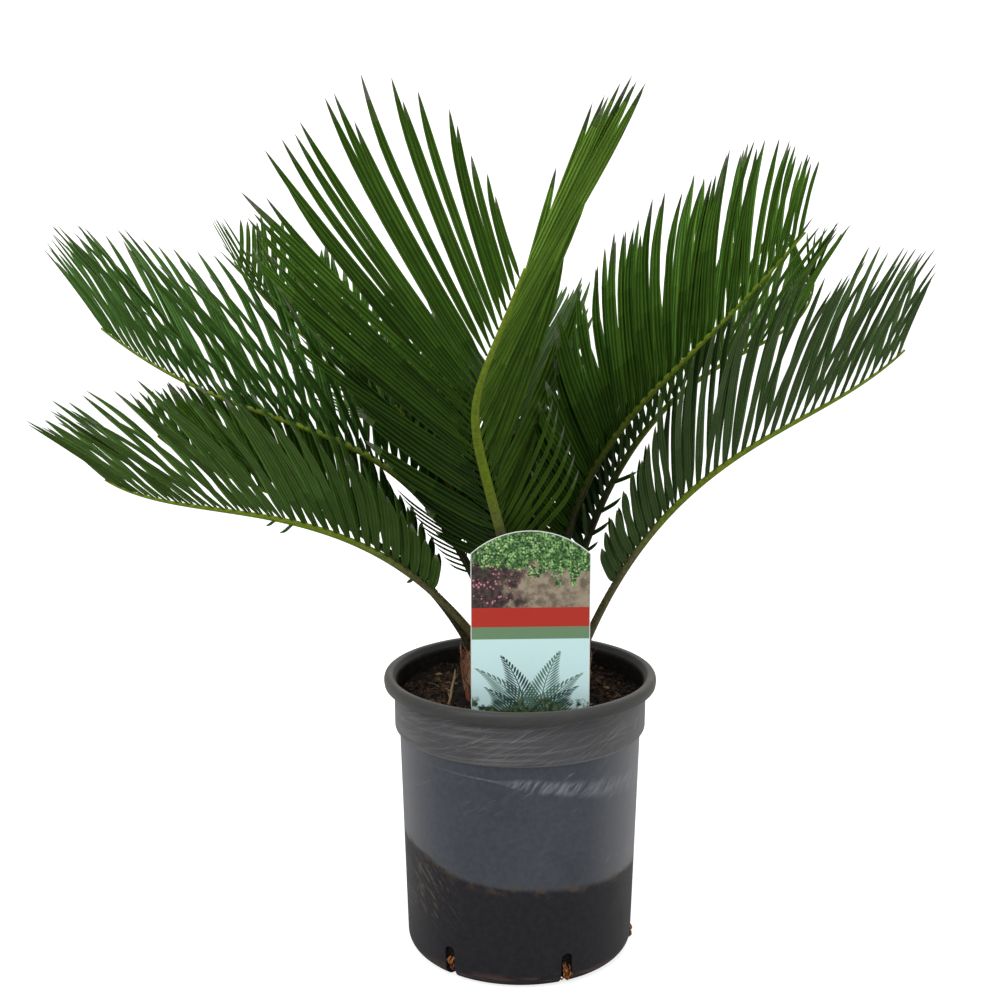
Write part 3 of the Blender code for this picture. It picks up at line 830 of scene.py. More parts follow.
def makeChips():
    dice = random.Random(soil["seed"] + 1)
    pile = Pile()
    for x, y in soilSpots(dice, *soil["chips"]):
        points, faces = chipShape(dice, dice.uniform(3.5, 10.0), dice.uniform(2.0, 5.0),
                                  dice.uniform(0.7, 1.8))
        tilt = dice.uniform(-0.5, 0.5)
        turn = dice.uniform(0, math.tau)
        at = np.array([x, y, soilHeight(x, y) + 0.9])
        pile.add(points @ aboutX(tilt).T @ aboutZ(turn).T + at, faces, 0 if dice.random() < 0.9 else 1)
    for x, y, long in soil["paleFlakes"]:
        points, faces = chipShape(dice, long, long * 0.5, 0.8)
        pile.add(points + np.array([x, y, soilHeight(x, y) + 1.6]), faces, 1)
    addPiece("barkChips", pile, earthMaterials(soil, "barkChip", "paleChip"), sharp=20.0)


def makeThreads():  # dry roots and straws on the soil
    dice = random.Random(soil["seed"] + 2)
    pile = Pile()
    nearest, farthest = soil["threadRing"]
    for x, y in soilSpots(dice, *soil["threads"]):
        turn = dice.uniform(0, math.tau)
        long = dice.uniform(6.0, 20.0)
        bend = dice.uniform(-1.4, 1.4)
        path = []
        for k in range(7):
            t = k / 6
            heading = turn + bend * t
            px = x + long * t * math.cos(heading)
            py = y + long * t * math.sin(heading)
            if math.hypot(px, py) > farthest or math.hypot(px - trunkX, py) < nearest:
                break
            lift = 1.2 + dice.uniform(-0.3, 0.5) + 2.0 * math.sin(math.pi * t) * dice.random()
            path.append((px, py, soilHeight(px, py) + lift))
        if len(path) < 3:
            continue
        radii = np.linspace(1.0, 0.4, len(path)) * dice.uniform(0.18, 0.42)
        pile.add(*strand(path, radii), 0 if dice.random() < 0.65 else 1)
    twig = [spot(-142, 62, 187.5), spot(-145, 58, 191.0), spot(-149, 54.5, 196.0),
            spot(-151, 51.5, 202.0), spot(-153, 50.0, 207.5)]
    pile.add(*strand(twig, np.array([0.9, 1.0, 1.1, 0.9, 0.35])), 1)
    addPiece("dryThreads", pile, earthMaterials(soil, "rootBrown", "dryStraw"))


makeSoil()
makeCrumbs()
makeChips()
makeThreads()
print("soil ready")


# the trunk with its old leaf bases, papery shreds and hairs

trunk = {
    "foot": 182.3,
    "footRadius": 41.0,
    "radius": 44.0,
    "crownTop": 229.0,
    "crownDrop": 25.0,
    "crownPower": 2.2,
    "rings": 44,
    "sides": 120,
    "bases": 150,
    "basesOnSide": ((9.0, 13.0), (8.0, 11.0), (1.4, 2.4)),  # lengths, widths, thicknesses
    "basesOnCrown": ((6.0, 9.0), (5.5, 7.5), (0.9, 1.5)),
    "shreds": 130,
    "hairs": 900,
    "seed": 23,
    "sideShare": 0.42,  # how much of the way from foot to bud is the side
    "goldenTurn": 137.508,  # degrees from one leaf base to the next
    "looks": {  # darkest and lightest colour, width of the fibres, their squeeze in height
        "trunkFelt": (rgb(58, 36, 24), rgb(120, 84, 58), 2.2, 0.3),
        "leafBaseBrown": (rgb(70, 44, 29), rgb(132, 90, 62), 1.6, 0.25),
        "leafBaseRust": (rgb(94, 52, 34), rgb(158, 98, 70), 1.6, 0.25),
        "leafBaseGrey": (rgb(72, 56, 44), rgb(142, 116, 92), 1.6, 0.25),
        "shredRust": (rgb(110, 66, 46), rgb(176, 122, 92), 1.4, 0.2),
        "shredTan": (rgb(96, 74, 54), rgb(160, 130, 100), 1.4, 0.2),
        "hairRust": (rgb(112, 70, 46), rgb(164, 112, 80), 1.0, 1.0),
        "hairPale": (rgb(140, 112, 84), rgb(190, 162, 130), 1.0, 1.0),
    },
}


def crownHeight(out):
    return trunk["crownTop"] - trunk["crownDrop"] * (out / trunk["radius"]) ** trunk["crownPower"]


shoulder = crownHeight(trunk["radius"] - 1.0)


def trunkSurface(share, bearing):  # a place on the trunk and its outward direction, foot to crown
    out = facing(bearing)[0]
    sideShare = trunk["sideShare"]
    if share < sideShare:
        t = share / sideShare
        swell = (trunk["radius"] - 1.0 - trunk["footRadius"]) * math.sin(t * 1.57)
        radius = trunk["footRadius"] + swell
        place = out * radius + skyward * (trunk["foot"] + (shoulder - trunk["foot"]) * t)
        normal = unit(out * 1.0 + skyward * 0.35 * t)
    else:
        t = (share - sideShare) / (1 - sideShare)
        radius = (trunk["radius"] - 1.0) * (1 - t)
        place = out * radius + skyward * crownHeight(radius)
        normal = unit(out * (1 - t) * 0.75 + skyward * (0.35 + t))
    place = place + np.array([trunkX, 0.0, 0.0])
    return place, normal, out


def fibreMaterial(name, dark, light, size, squeeze):
    look, tree, shader = newMaterial(name, roughness=0.92, specular=0.25)
    broad = useGroup(tree, mottle, size=size * 4, low=0.3, high=0.7)
    fibre = useGroup(tree, mottle, size=size, low=0.3, high=0.7, stretch=(1.0, 1.0, squeeze))
    tone = plus(tree, times(tree, broad, 0.4), times(tree, fibre, 0.6))
    feed(tree, shader["Base Color"], blendColour(tree, tone, dark, light))
    addBump(tree, shader, fibre, 0.5, 0.9)
    return look


def fibreMaterials(*names):
    return [fibreMaterial(name, *trunk["looks"][name]) for name in names]


def baseScale(place, normal, out, long, wide, thick, lean):
    # one old leaf base: a pointed wedge that lies up the trunk with its tip leaning out
    rise = unit(skyward - normal * normal[2] + 1e-6)
    if abs(normal[2]) > 0.97:
        rise = unit(-out)
    side = np.cross(rise, normal)
    # share of the length, of the width and of the thickness
    stations = [(-0.35, 0.75, 0.4), (0.0, 1.0, 0.95), (0.35, 0.92, 1.0), (0.68, 0.6, 0.75),
                (0.93, 0.22, 0.4)]
    points = []
    for t, w, h in stations:
        centre = place + rise * long * t + normal * (lean * max(t, 0) ** 2 * long)
        half = wide / 2 * w
        top = thick * h
        section = [(1.0, -1.5), (0.9, top * 0.45), (0.35, top)]
        points += [centre - side * half * x + normal * y for x, y in section]
        points += [centre + side * half * x + normal * y for x, y in section[::-1]]
    return points, ringFaces(len(stations), 6)


def makeTrunk():
    dice = random.Random(trunk["seed"])
    rings, sides = trunk["rings"], trunk["sides"]
    points = []
    for r in range(rings):
        share = r / rings
        for k in range(sides):
            bearing = 360.0 * k / sides
            place, normal, _ = trunkSurface(share, bearing)
            knob = noise.fractal(Vector(place) * 0.16, 0.8, 2.0, 4) * 0.9
            points.append(place + normal * (knob - 0.5))
    faces = ringFaces(rings, sides, True, False)
    points.append(np.array([trunkX, 0.0, trunk["crownTop"] + 0.5]))
    last = (rings - 1) * sides
    faces += [(last + k, last + (k + 1) % sides, len(points) - 1) for k in range(sides)]
    core = Pile()
    core.add(points, faces)
    addPiece("trunkCore", core, fibreMaterials("trunkFelt"), ["trunk"])

    bases = Pile()
    for k in range(trunk["bases"]):
        share = 0.03 + 0.80 * (k / trunk["bases"]) ** 0.9
        place, normal, out = trunkSurface(share, k * trunk["goldenTurn"] + dice.uniform(-4, 4))
        spans = trunk["basesOnSide" if share < trunk["sideShare"] else "basesOnCrown"]
        long, wide, thick = (dice.uniform(*span) for span in spans)
        bases.add(*baseScale(place, normal, out, long, wide, thick, dice.uniform(0.02, 0.16)),
                  dice.choice((0, 0, 1, 2)))
    looks = fibreMaterials("leafBaseBrown", "leafBaseRust", "leafBaseGrey")
    addPiece("oldLeafBases", bases, looks, sharp=50.0)
    makeShreds(dice)
    makeHairs(dice)


def makeShreds(dice):  # papery torn strips against the side of the trunk
    pile = Pile()
    for _ in range(trunk["shreds"]):
        bearing = dice.uniform(0, 360)
        place, _, out = trunkSurface(dice.uniform(0.02, 0.34), bearing)
        side = np.cross(skyward, out)
        long = dice.uniform(9.0, 21.0)
        wide = dice.uniform(1.6, 4.6)
        lean = dice.uniform(-0.3, 0.3)
        flare = dice.uniform(0.3, 3.0)
        rows = 6
        points = []
        for r in range(rows):
            t = r / (rows - 1)
            half = wide / 2 * (1 - 0.75 * t ** 2) * dice.uniform(0.75, 1.15)
            centre = (place + out * (1.6 + flare * t ** 1.5) + side * lean * long * t
                      + skyward * (long * t - 1.0))
            curl = dice.uniform(-0.5, 0.5)
            points += [centre - side * half + out * curl, centre + out * 0.35,
                       centre + side * half - out * curl, centre - out * 0.15]
        pile.add(points, ringFaces(rows, 4), dice.choice((0, 1)))
    addPiece("paperyShreds", pile, fibreMaterials("shredRust", "shredTan"), sharp=60.0)


def makeHairs(dice):
    pile = Pile()
    for _ in range(trunk["hairs"]):
        share = dice.uniform(0.02, 0.93)
        place, normal, out = trunkSurface(share, dice.uniform(0, 360))
        side = np.cross(skyward, out)
        long = dice.uniform(5.0, 14.0) * (1.0 if share < 0.45 else 0.75)
        lean = dice.uniform(-0.8, 0.8)
        lift = dice.uniform(0.6, 3.0)
        along = skyward if share < trunk["sideShare"] else unit(skyward * 0.6 + out * 0.3)
        path = []
        for r in range(5):
            t = r / 4
            path.append(place + normal * (0.6 + lift * math.sin(1.8 * t)) + along * long * t * 0.85
                        + side * long * lean * t * t)
        pile.add(*strand(path, np.array([0.16, 0.15, 0.13, 0.1, 0.05]), 3), dice.choice((0, 0, 1)))
    addPiece("trunkHairs", pile, fibreMaterials("hairRust", "hairPale"))


makeTrunk()
print("trunk ready")


# the plant label: a printed card with two plain bands, leaves over stone and feathery sprigs

label = {
    "x": 5.9,
    "y": -62.0,
    "width": 78.0,
    "foot": 189.0,
    "shoulder": 298.0,
    "arch": 15.0,
    "thick": 0.7,
    "corner": 6.0,
    "bow": 1.2,  # how far the card curves forward at its sides
    "edge": 0.55,
    "stakeWidth": 11.0,
    "stakeFoot": 140.0,
    "stakeTip": 12.0,
    "redTop": 262.0,
    "greenTop": 249.0,
    "panelTop": 240.8,
    "tilt": 0.012,
    "white": rgb(206, 210, 206),
    "red": rgb(170, 44, 32),
    "green": rgb(102, 132, 99),
    "paleBlue": rgb(197, 227, 228),
    "greyGreen": rgb(84, 116, 104),
    "deepGreen": rgb(40, 66, 62),
    "bark": rgb(40, 32, 32),
    "wall": rgb(150, 138, 118),
    "leafLight": rgb(176, 216, 140),
    "leafDark": rgb(60, 108, 50),
    "leafShade": rgb(28, 52, 28),
    "blossom": rgb(200, 120, 140),
    "panelShade": rgb(188, 221, 224),
    "hedgeDark": rgb(38, 56, 44),
    "hedgeLight": rgb(88, 108, 74),
    "wallShade": rgb(104, 92, 80),
    "barkLight": rgb(72, 60, 56),
    "stain": rgb(96, 82, 66),
    "spans": {  # where an effect starts and where it is full, then its value at both
        "hedgeTop": (198.0, 204.0, 1.0, 0.0),
        "darkSide": (-9.0, 9.0, 1.0, 0.0),
        "leafy": (290.0, 302.0),
        "leafRim": (0.3, 0.8),
        "leafChance": (0.55, 0.7),
        "petals": (0.25, 0.5, 1.0, 0.0),
        "blossomTop": (294.0, 288.0),
        "soiledFoot": (196.0, 182.0),
    },
    "sprigs": [  # from the middle, height, lean, longest leaf, colour
        (-8.0, 30.0, -0.95, 20.0, "greyGreen"), (12.0, 27.0, 0.85, 18.0, "greyGreen"),
        (-4.0, 39.0, -0.4, 17.0, "deepGreen"), (7.0, 42.0, 0.3, 18.0, "greyGreen"),
        (-15.0, 17.0, -0.9, 14.0, "deepGreen"), (14.0, 18.0, 1.0, 15.0, "deepGreen"),
    ],
}


def cardOutline(inset):
    half = label["width"] / 2 - inset
    rise = label["arch"]
    full = label["width"] / 2
    bend = (full ** 2 + rise ** 2) / (2 * rise)
    corner = label["corner"] - inset
    foot = label["foot"] + inset
    outline = []
    for t in np.linspace(0.0, math.pi / 2, 7):
        outline.append((half - corner * (1 - math.sin(t)), foot + corner * (1 - math.cos(t))))
    top = label["shoulder"] + rise - bend
    radius = bend - inset
    reach = math.asin(half / radius)
    for t in np.linspace(reach, -reach, 31):
        outline.append((radius * math.sin(t), top + radius * math.cos(t)))
    for t in np.linspace(math.pi / 2, 0.0, 7):
        outline.append((-half + corner * (1 - math.sin(t)), foot + corner * (1 - math.cos(t))))
    return outline


def cells(tree, vector, scale):  # scattered cells: distance to the middle and a random number
    made = addNode(tree, "ShaderNodeTexVoronoi")
    tree.links.new(vector, made.inputs["Vector"])
    made.inputs["Scale"].default_value = scale
    return made.outputs["Distance"], axes(tree, made.outputs["Color"])[0]


def printMaterial():
    look, tree, shader = newMaterial("labelPrint", roughness=0.35, specular=0.3)
    spans = label["spans"]
    where = placeInMm(tree)
    part = axes(tree, where)
    x = minus(tree, part[0], label["x"])
    z = minus(tree, part[2], times(tree, x, label["tilt"]))
    fine = useGroup(tree, mottle, size=3.0)
    broad = useGroup(tree, mottle, size=9.0)
    # lower panel: pale blue with feathery sprigs rising from a dark foot
    panel = blendColour(tree, times(tree, fine, 0.2), label["paleBlue"], label["panelShade"])
    for stemX, tall, lean, long, paint in label["sprigs"]:
        drawn = useGroup(tree, sprig, x=label["x"] + stemX, z=label["foot"] + 2.0, lean=lean, tall=tall,
                         long=long)
        panel = blendColour(tree, drawn, panel, label[paint])
    hedge = plus(tree, z, times(tree, useGroup(tree, mottle, size=6.0), 9.0))
    panel = blendColour(tree, between(tree, hedge, *spans["hedgeTop"]),
                        panel, blendColour(tree, fine, label["hedgeDark"], label["hedgeLight"]))
    # upper field: small leaves over a stone-coloured ground that is dark at one side
    ground = blendColour(tree, useGroup(tree, mottle, size=5.0), label["wallShade"], label["wall"])
    shade = plus(tree, x, times(tree, broad, 22.0))
    dark = between(tree, shade, *spans["darkSide"])
    ground = blendColour(tree, dark, ground, blendColour(tree, fine, label["bark"], label["barkLight"]))
    spread = plus(tree, z, times(tree, broad, 16.0), times(tree, x, 0.18))
    leafy = between(tree, spread, *spans["leafy"])
    near, pick = cells(tree, where, 0.75)
    clump = useGroup(tree, mottle, size=4.0, low=0.38, high=0.6)
    leaf = blendColour(tree, times(tree, pick, clump), label["leafDark"], label["leafLight"])
    leaf = blendColour(tree, between(tree, near, *spans["leafRim"]), leaf, label["leafShade"])
    some = between(tree, plus(tree, leafy, times(tree, pick, 0.5)), *spans["leafChance"])
    upper = blendColour(tree, some, ground, leaf)
    dot, chance = cells(tree, where, 0.55)
    patch = useGroup(tree, mottle, size=7.0, low=0.45, high=0.55)
    petals = between(tree, dot, *spans["petals"])
    picked = maths(tree, "GREATER_THAN", chance, 0.5)
    blossom = times(tree, petals, picked, patch, between(tree, z, *spans["blossomTop"]), dark)
    upper = blendColour(tree, blossom, upper, label["blossom"])
    bands = ((label["panelTop"], label["green"]), (label["greenTop"], label["red"]),
             (label["redTop"], upper))
    colour = panel
    for level, paint in bands:
        colour = blendColour(tree, between(tree, z, level - 0.15, level + 0.15), colour, paint)
    feed(tree, shader["Base Color"], colour)
    feed(tree, shader["Roughness"], plus(tree, times(tree, broad, 0.1), 0.3))
    addBump(tree, shader, broad, 0.05, 0.3)
    return look


def cardMaterial():
    look, tree, shader = newMaterial("labelPlastic", roughness=0.35, coat=0.3)
    grime = useGroup(tree, mottle, size=7.0, low=0.5, high=0.8)
    part = axes(tree, placeInMm(tree))
    low = between(tree, part[2], *label["spans"]["soiledFoot"])
    dirt = plus(tree, times(tree, grime, 0.15), times(tree, low, 0.5))
    feed(tree, shader["Base Color"], blendColour(tree, dirt, label["white"], label["stain"]))
    return look


def strips(base, count, flip):  # bridges the left and right sides of a level outline
    faces = []
    for k in range(count // 2):
        a, b = base + k, base + k + 1
        c, d = base + count - 2 - k, base + count - 1 - k
        if b > c:
            break
        corners = (a, b, c, d) if b != c else (a, b, d)
        faces.append(corners[::-1] if flip else corners)
    return faces


def makeLabel():
    pile = Pile()
    outer = cardOutline(0.0)
    inner = cardOutline(label["edge"])
    count = len(outer)
    thick = label["thick"]

    def lay(outline, depth):
        return [(label["x"] + x, label["y"] + depth - label["bow"] * (2 * x / label["width"]) ** 2
                 + 0.004 * max(0.0, z - 250.0), z) for x, z in outline]

    # rows of the front are cut across so that the card can curve
    front = lay(outer, 0.25) + lay(inner, 0.0)
    back = lay(outer, thick)
    faces = [(k, (k + 1) % count, count + (k + 1) % count, count + k) for k in range(count)]
    printed = strips(count, count, False)
    base = 2 * count
    plain = [(base + k, base + (k + 1) % count, (k + 1) % count, k) for k in range(count)]
    plain += strips(base, count, True)
    slots = [1] * count + [0] * len(printed) + [1] * len(plain)
    pile.add(front + back, faces + printed + plain, slots)
    half = label["stakeWidth"] / 2
    stake = [(-half, label["foot"] + 1.0), (-half, label["stakeFoot"] + label["stakeTip"]),
             (0.0, label["stakeFoot"]), (half, label["stakeFoot"] + label["stakeTip"]),
             (half, label["foot"] + 1.0)]
    pile.add(lay(stake, 0.1) + lay(stake, thick), ringFaces(2, 5), 1)
    piece = addPiece("plantLabel", pile, [printMaterial(), cardMaterial()],
                     ["plant_label"], 40.0)
    faceOutward(piece.data)


makeLabel()
print("label ready")


# the fronds: the ribs follow the solids, the leaflets are finer ones by the same rule

frond = {
    "leafStart": 0.20,
    "leafEnd": 0.985,
    "lastShare": 0.995,  # no leaflet stands further along the rib
    "spacing": 7.2,
    "pairShift": 0.15,  # how far the two of a pair stand apart, in spacings from their middle
    "hook": 0.035,
    "group": 2.3,  # degrees that neighbours lean together, which gathers their tips
    "spreadScatter": 0.7,
    "lengthWave": 0.03,
    "lengthScatter": 0.025,
    "hookRange": (-0.3, 1.5),
    "sagMost": 0.035,
    "stepScatter": 0.8,
    "widthPerLength": 0.055,
    "widthZones": (0.0, 0.3, 0.5, 1.0),
    "widthShares": (1.4, 1.0, 1.0, 0.66),
    "probeShare": 0.8,  # width of the strip that looks for clashes
    "seed": 41,
    "stout": 1.25,  # girth of the front frond's rib beside the others
    "shades": (0.85, 0.28),  # what is left of the stalks' colour in the crown, near fronds and others
    "nearFronds": ("frond01", "frond02", "frond03"),
    "leafHeart": 255.0,  # heights of the crown's heart for the shade of leaves and of stalks
    "stalkHeart": 215.0,
    "brownEnds": (34.0, 62.0),  # distances from the crown over which the stalks change colour
    "oliveEnds": (92.0, 165.0),
    "shadeEnds": (130.0, 260.0),
    "wispyFrond": "frond_05_left_mid",
    "wispLength": 18.0,
}

# bearing; seat radius; out and up of two handles and of the tip; sweep; bow; roll; leaflet length
frondRows = {
    "frond_01_front": (-84, 15, 73, 423, 146, 380, 204, 487, -26, -38, 6, 186),
    "frond_02_right_low": (-8, 37, 97, 369, 190, 368, 247, 427, 1, -1, 0, 129),
    "frond_03_left_low": (190, 30, 115, 343, 225, 307, 279, 344, -1, 3, 0, 122),
    "frond_04_right_high": (-6, 18, 28, 378, 83, 381, 181, 502, -1, 0, 0, 141),
    "frond_05_left_mid": (172, 19, 83, 405, 176, 340, 297, 435, 3, 0, 0, 150),
    "frond_06_left_high": (149, 11, 60, 391, 157, 380, 247, 477, 6, -1, 0, 88),
    "frond_07_right_mid": (26, 27, 76, 454, 225, 392, 233, 462, -3, -2, -15, 122),
    "frond_08_left_inner": (207, 26, 34, 300, 60, 350, 96, 392, 0, 0, 0, 72),
    "frond_09_left_back": (175, 36, 96, 326, 200, 314, 256, 362, 0, 0, 0, 96),
    "frond_10_back": (95, 26, 62, 350, 140, 400, 246, 372, 0, 0, 0, 120),
    "frond_11_back_right": (72, 33, 66, 330, 150, 366, 258, 352, 0, 0, 0, 115),
    "frond_12_back_left": (124, 32, 72, 315, 150, 360, 262, 350, 0, 0, 0, 115),
}

# degrees between rib and leaflet, from the first pair to the last
fanZones = (0, 0.15, 0.45, 0.8, 1)
fans = {"even": (60, 59, 56, 48, 37), "closing": (60, 59, 55, 40, 20),
        "wide": (80, 74, 66, 50, 43), "upright": (84, 70, 63, 36, 20)}
# leaflet length as a share of the longest
outlineZones = (0, 0.1, 0.2, 0.36, 0.7, 0.85, 1)
outlines = {"round": (0.28, 0.45, 0.62, 1, 0.90, 0.72, 0.38),
            "full": (0.28, 0.45, 0.62, 1, 0.95, 0.82, 0.46),
            "late": (0.26, 0.37, 0.50, 1, 0.95, 0.86, 0.42),
            "fading": (0.30, 0.48, 0.64, 1, 0.96, 0.78, 0.24),
            "long": (0.42, 0.50, 0.66, 1, 0.94, 0.82, 0.52)}
# fan, outline, wing rise and turn of each leaflet about its length, for the two hands
plainHands = (("even", "round", 50, 15), ("even", "round", 50, 15))
frondHands = {
    "frond_01_front": (("wide", "fading", 50, 30), ("upright", "long", 52, 50)),
    "frond_02_right_low": (("even", "late", 50, 15), ("even", "late", 50, 15)),
    "frond_03_left_low": (("closing", "full", 50, 15), ("closing", "full", 50, 15)),
    "frond_05_left_mid": (("closing", "full", 50, 15), ("even", "full", 50, 15)),
    "frond_06_left_high": (("even", "full", 50, 15), ("even", "full", 50, 15)),
}

leafKinds = {  # underside, its midrib and rolled margins, upper side
    # painted light: the first kind is a lighter green for the front frond's left wing, which catches
    # more light than its right wing
    "litLime": (rgb(74, 108, 32), rgb(112, 146, 54), rgb(62, 98, 24)),
    "fresh": (rgb(53, 85, 22), rgb(84, 121, 40), rgb(43, 79, 18)),
    "green": (rgb(46, 75, 17), rgb(75, 108, 33), rgb(39, 71, 14)),
    "grassy": (rgb(48, 84, 28), rgb(76, 112, 48), rgb(42, 78, 22)),
    "sage": (rgb(57, 84, 32), rgb(78, 105, 47), rgb(48, 79, 25)),
    "blue": (rgb(59, 80, 41), rgb(77, 98, 58), rgb(48, 73, 34)),
}
leafEnds = {"fade": rgb(74, 96, 50), "tip": rgb(106, 108, 96)}
# painted shade: leaves are darker towards the heart of the crown, where shade falls; distances from it
# and shares of the colour
crownHeart = np.array([trunkX, 0.0, frond["leafHeart"]])
shadeSteps = (80.0, 130.0, 175.0, 215.0, 265.0)
shadeShares = (0.24, 0.38, 0.54, 0.76, 1.0)

# widest leaflet, its least width, scatter of the wings in degrees, kinds for the two hands,
# least painted shade step and stretch of the distances for the shade steps
frondLooks = {
    # painted light: the front frond's left wing takes the lighter first kind of leafKinds
    "frond_01_front": (6.8, 1.8, 3.4, ("green", "litLime"), 0, 1.2),
    "frond_02_right_low": (5.2, 3.2, 1.6, ("blue", "blue"), 3, 0.7),
    "frond_03_left_low": (5.7, 3.6, 1.6, ("sage", "sage"), 3, 0.7),
    "frond_04_right_high": (6.8, 2.2, 1.6, ("fresh", "fresh"), 0, 1.0),
    "frond_05_left_mid": (5.6, 2.8, 1.6, ("grassy", "grassy"), 0, 1.0),
    "frond_06_left_high": (6.4, 2.6, 4.5, ("green", "green"), 0, 1.0),
    "frond_07_right_mid": (6.6, 5.0, 1.6, ("fresh", "fresh"), 0, 1.0),
    "frond_08_left_inner": (5.4, 2.2, 2.5, ("green", "green"), 0, 1.0),
    "frond_09_left_back": (8.4, 3.4, 1.6, ("green", "green"), 0, 1.0),
    "frond_10_back": (6.6, 3.0, 1.6, ("blue", "blue"), 0, 1.0),
    "frond_11_back_right": (6.6, 3.0, 1.6, ("blue", "blue"), 0, 1.0),
    "frond_12_back_left": (8.4, 3.4, 1.6, ("sage", "sage"), 0, 1.0),
}

# odd leaflets on bare stalks: place along the rib, hand, degrees from it, wing rise, length, width
strays = {
    "frond_01_front": [(0.20 + 0.018 * k, 1, 58 - 3 * k, 4 + 3 * k, 72 + 3 * k, 4.2) for k in range(6)],
    "frond_03_left_low": [(0.25, 1, 80, -85, 8, 2.4), (0.565, 1, 61, -85, 12, 2.2),
                          (0.605, 1, 55, -85, 9, 2.0)],
    "frond_05_left_mid": [(0.130 + 0.011 * k, 1, 48 - 3 * k, -80 + 4 * (k % 3), 18 + 2.6 * k, 1.5)
                          for k in range(10)],
    "frond_07_right_mid": [(0.18, -1, 40, -75, 15, 2.6), (0.22, -1, 42, -72, 18, 3.0),
                           (0.27, -1, 40, -72, 20, 3.0), (0.34, -1, 44, -70, 20, 3.0)],
}


def leafMaterial(name, colour, share=1.0):
    look, tree, shader = newMaterial("leaf" + name.title(), roughness=0.5, specular=0.06)
    tone = useGroup(tree, mottle, size=14.0, low=0.3, high=0.7)
    fleck = useGroup(tree, mottle, size=1.6, low=0.55, high=0.8)
    # painted shade: a share below 1 makes a darker, shaded copy of the colour
    deep = (share * (0.8 + 0.2 * share), share, share * (0.5 + 0.5 * share))  # shade is a purer green
    dark, plain, pale = ((*[c * s * change for c, s in zip(colour, deep)], 1.0)
                         for change in (0.8, 1.0, 1.35))
    shaded = blendColour(tree, tone, dark, plain)
    feed(tree, shader["Base Color"], blendColour(tree, times(tree, fleck, 0.3), shaded, pale))
    addBump(tree, shader, fleck, 0.06, 0.3)
    return look


# dark and light grain of the stalks, from the crown outward
stalkTones = ((rgb(58, 40, 26), rgb(98, 72, 48)), (rgb(78, 76, 44), rgb(104, 100, 68)),
              (rgb(86, 108, 12), rgb(116, 134, 26)))


def stalkMaterial(name, shade):  # shade is what is left of the colour deep in the crown
    look, tree, shader = newMaterial(name, roughness=0.5, specular=0.15)
    where = placeInMm(tree)
    fromCrown = addNode(tree, "ShaderNodeVectorMath", operation="DISTANCE")
    feed(tree, fromCrown.inputs[0], where)
    fromCrown.inputs[1].default_value = (trunkX, 0.0, frond["stalkHeart"])
    wander = times(tree, useGroup(tree, mottle, size=12.0), 14.0)
    far = plus(tree, fromCrown.outputs["Value"], wander)
    grain = useGroup(tree, mottle, size=2.5, low=0.3, high=0.7)
    brown, olive, green = (blendColour(tree, grain, *tones) for tones in stalkTones)
    colour = blendColour(tree, between(tree, far, *frond["brownEnds"]), brown, olive)
    colour = blendColour(tree, between(tree, far, *frond["oliveEnds"]), colour, green)
    dim = between(tree, far, *frond["shadeEnds"], shade, 1.0)
    colour = blendColour(tree, 1.0, colour, dim, "MULTIPLY")
    feed(tree, shader["Base Color"], colour)
    addBump(tree, shader, grain, 0.15, 0.5)
    return look


class Rib:
    def __init__(self, row, hands, stout):
        self.hands = hands
        self.stout = stout
        (bearing, seat, out1, up1, out2, up2, out3, up3, sweep, bow, self.roll, self.leaf) = row
        out, self.side = facing(bearing)
        t = np.linspace(0.0, 1.0, 241)[:, None]
        a, b, c, d = (1 - t) ** 3, 3 * t * (1 - t) ** 2, 3 * t * t * (1 - t), t ** 3
        reach = a * seat + b * out1 + c * out2 + d * out3
        rise = a * crownHeight(seat) + b * up1 + c * up2 + d * up3
        aside = sweep * t ** 2 + bow * 4 * t * (1 - t)
        self.path = reach * out + aside * self.side + rise * skyward
        self.path[:, 0] += trunkX
        steps = np.linalg.norm(np.diff(self.path, axis=0), axis=1)
        self.along = np.concatenate([[0.0], np.cumsum(steps)])
        self.length = self.along[-1]

    def at(self, share):  # place, direction, sideways and upward
        here = share * self.length
        place, ahead, behind = (
            np.array([np.interp(here + step, self.along, self.path[:, i]) for i in range(3)])
            for step in (0, 2, -2))
        way = unit(ahead - behind)
        side = unit(self.side - self.side.dot(way) * way)
        upper = np.cross(way, side)
        turn = math.radians(self.roll)
        return (place, way, math.cos(turn) * side + math.sin(turn) * upper,
                math.cos(turn) * upper - math.sin(turn) * side)

    def girth(self, share):
        shares = (0, 0.05, 0.16, 0.5, 1.0)
        return (np.interp(share, shares, (8.4, 7.2, 6.0, 4.8, 1.6)) * self.stout,
                np.interp(share, shares, (6.6, 5.8, 5.2, 4.2, 1.4)) * self.stout)


def ribMesh(rib):
    points = []
    shares = np.concatenate([[-0.012], np.linspace(0.0, 1.0, 90)])
    # flat-topped section with a groove on each flank where the leaflets grow
    section = [(0.0, 0.36), (0.45, 0.35), (0.78, 0.22), (0.80, 0.08), (1.0, -0.05), (0.9, -0.3),
               (0.5, -0.55), (0.0, -0.65)]
    ringShape = section + [(-x, y) for x, y in section[-2:0:-1]]
    for share in shares:
        place, way, side, upper = rib.at(max(share, 0.0))
        if share < 0:
            place = place - way * 3.0
        wide, deep = rib.girth(max(share, 0.0))
        points += [place + side * x * wide / 2 + upper * y * deep for x, y in ringShape]
    return points, ringFaces(len(shares), len(ringShape))


